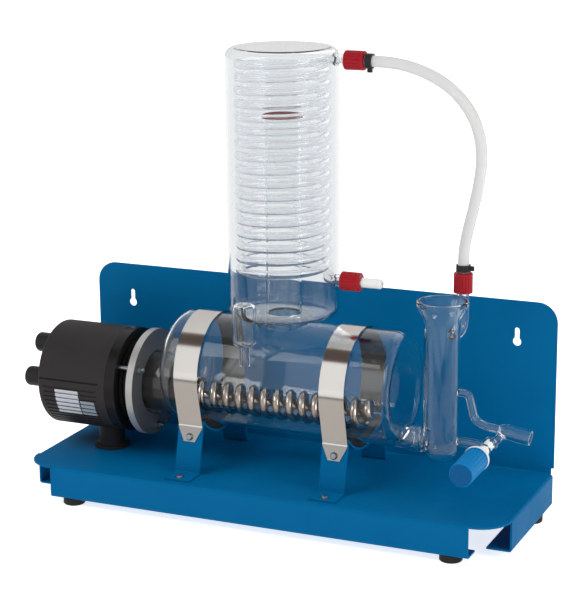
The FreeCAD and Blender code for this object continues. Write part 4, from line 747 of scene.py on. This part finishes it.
@dataclass
class Studio:
    """Floor, lights and the camera at the photograph's place.

    Attributes:
        distance: From the camera to the point that it looks at.
        azimuth: Turn to the right of the front, in degrees.
        elevation: Height above the horizon, in degrees.
        roll: Turn of the picture, in degrees.
        focal_share: Focal length over the picture's longer side.
        target: The point looked at, in drawing millimetres.
        floor_span: The floor's side.
        floor_drop: How far it lies under the feet.
        floor_colour: The floor's colour, as it lights the object.
        floor_glow: How much the floor shines for the camera and for soft light.
        sky: Soft light by the height that it comes from, level to overhead.
        bands: What shiny pieces mirror, from the front over the top to the back.
        panes: How bright that is from the far left to the far right.
        bench: What they mirror off the floor, by metres in front of the object.
        lit_point: The point that the lamps face, in drawing millimetres.
        lamps: A key at the upper left, a fill at the right and one behind.
    """

    distance: float = 2.03563
    azimuth: float = 23.594
    elevation: float = 14.252
    roll: float = -0.441
    focal_share: float = 1890.37 / 600
    target: tuple[float, float, float] = (-0.115, 120.0, 182.07)
    floor_span: float = 14.0
    floor_drop: float = 0.0002
    floor_colour: Colour = (0.86, 0.87, 0.88)
    floor_glow: tuple[float, float] = (0.75, 0.55)
    sky: Stops = ((0.0, (0.16, 0.165, 0.17)), (0.45, (0.22, 0.225, 0.23)),
                  (0.9, (1.0, 1.0, 1.0)))
    bands: Stops = ((0.0, (1.0, 1.0, 1.0)), (0.285, (1.0, 1.0, 1.0)),
                    (0.305, (0.10, 0.075, 0.065)), (0.45, (0.10, 0.075, 0.065)),
                    (0.47, (1.0, 1.0, 1.0)), (0.50, (0.80, 0.80, 0.80)),
                    (1.0, (0.62, 0.60, 0.60)))
    panes: Stops = ((0.0, (0.45, 0.45, 0.45)), (0.22, (0.6, 0.6, 0.6)),
                    (0.27, (1.0, 1.0, 1.0)), (0.37, (1.0, 1.0, 1.0)),
                    (0.44, (0.5, 0.5, 0.5)), (0.66, (0.45, 0.45, 0.45)),
                    (0.70, (1.0, 1.0, 1.0)), (0.76, (1.0, 1.0, 1.0)),
                    (0.80, (0.4, 0.4, 0.4)), (1.0, (0.4, 0.4, 0.4)))
    bench: Stops = ((0.05, (1.0, 1.0, 1.0)), (0.12, (0.56, 0.53, 0.50)),
                    (0.46, (0.56, 0.53, 0.50)), (0.49, (0.10, 0.09, 0.085)),
                    (0.58, (0.10, 0.09, 0.085)), (0.62, (1.0, 1.0, 1.0)))
    lit_point: tuple[float, float, float] = (0.0, 90.0, 150.0)
    lamps: tuple[Lamp, ...] = (Lamp("key", (-1.5, -1.4, 1.9), 1.3, 24.0),
                               Lamp("fill", (2.2, -0.7, 0.9), 1.2, 22.0),
                               Lamp("rear", (0.4, 2.2, 1.6), 1.6, 12.0))

    def build(self) -> None:
        """Makes the stage."""
        self._camera()
        self._world()
        self._floor()
        for lamp in self.lamps:
            lamp.hang(DATUM.at(*self.lit_point))
        bpy.context.scene.view_settings.view_transform = "Standard"
        cycles = bpy.context.scene.cycles
        cycles.max_bounces = 40
        cycles.transmission_bounces = 40
        cycles.glossy_bounces = 8
        cycles.diffuse_bounces = 4
        cycles.transparent_max_bounces = 24
        cycles.use_denoising = True

    def _camera(self) -> None:
        """Puts the camera where the photograph was taken from."""
        turn, rise = math.radians(self.azimuth), math.radians(self.elevation)
        back = Vector((math.sin(turn) * math.cos(rise),
                       -math.cos(turn) * math.cos(rise), math.sin(rise)))
        camera = bpy.data.cameras.new("camera")
        camera.sensor_width = 36.0
        camera.lens = self.focal_share * camera.sensor_width
        camera.clip_start, camera.clip_end = 0.1, 60.0
        holder = bpy.data.objects.new("camera", camera)
        bpy.context.scene.collection.objects.link(holder)
        holder.rotation_mode = "QUATERNION"
        aim = (-back).to_track_quat("-Z", "Y")
        spin = Matrix.Rotation(math.radians(self.roll), 4, "Z").to_quaternion()
        holder.rotation_quaternion = aim @ spin
        holder.location = DATUM.at(*self.target) + back * self.distance
        bpy.context.scene.camera = holder

    def _world(self) -> None:
        """Lights the object softly and shows white behind it."""
        world = bpy.data.worlds.new("studio")
        world.use_nodes = True
        world.node_tree.nodes.clear()
        graph = Graph(world.node_tree)
        path = graph.add("LightPath")
        seen = graph.maths("MAXIMUM", path.outputs["Is Camera Ray"],
                           path.outputs["Is Transmission Ray"])
        heading = graph.add("TexCoord").outputs["Generated"]
        way = graph.add("SeparateXYZ", Vector=heading)
        forward = graph.maths("MULTIPLY", way.outputs[1], -1.0)
        rise = graph.maths("ARCTAN2", way.outputs[2], forward)
        share = graph.maths("ADD", graph.maths("MULTIPLY", way.outputs[0], 0.5), 0.5)
        panes = graph.ramp(share, self.panes)
        height = graph.ramp(graph.maths("DIVIDE", rise, math.pi), self.bands)
        mirrored = graph.add("VectorMath", {"operation": "MULTIPLY"})
        graph.feed(mirrored, 0, height)
        graph.feed(mirrored, 1, panes)
        soft = graph.ramp(way.outputs[2], self.sky)
        lit = graph.mix(path.outputs["Is Glossy Ray"], soft, mirrored.outputs[0])
        colour = graph.mix(seen, lit, (1, 1, 1, 1))
        shade = graph.add("Background", Color=colour, Strength=1.0)
        output = graph.add("OutputWorld")
        graph.feed(output, "Surface", shade.outputs[0])
        bpy.context.scene.world = world

    def _floor(self) -> None:
        """Lays a pale floor that is white for the camera where no shadow falls."""
        mesh = bmesh.new()
        bmesh.ops.create_grid(mesh, x_segments=1, y_segments=1,
                              size=self.floor_span / 2)
        data = bpy.data.meshes.new("floor")
        mesh.to_mesh(data)
        mesh.free()
        floor = bpy.data.objects.new("floor", data)
        floor.location.z = -self.floor_drop
        bpy.context.scene.collection.objects.link(floor)
        material, graph, shader = new_material("pale_floor")
        path = graph.add("LightPath")
        glossy = path.outputs["Is Glossy Ray"]
        seen = graph.maths("MAXIMUM", path.outputs["Is Camera Ray"],
                           path.outputs["Is Transmission Ray"])
        position = graph.add("NewGeometry").outputs["Position"]
        place = graph.add("SeparateXYZ", Vector=position)
        ahead = graph.maths("MULTIPLY", place.outputs[1], -1.0)
        graph.feed(shader, "Base Color", graph.mix(
            glossy, (*self.floor_colour, 1), (0, 0, 0, 1)))
        graph.feed(shader, "Emission Color", graph.mix(
            glossy, (1, 1, 1, 1), graph.ramp(ahead, self.bench)))
        for_camera, for_light = self.floor_glow
        glow = graph.spread(seen, for_light, for_camera)
        graph.feed(shader, "Emission Strength", graph.maths("MAXIMUM", glow, glossy))
        shader.inputs["Roughness"].default_value = 0.9
        floor.data.materials.append(material)


def main() -> None:
    """Builds the sub-assemblies in order and reports them."""
    logging.basicConfig(level=logging.INFO, format="%(name)s %(message)s")
    Frame().dress()
    CoolingHose().build()
    Studio().build()


if __name__ == "__main__":
    main()
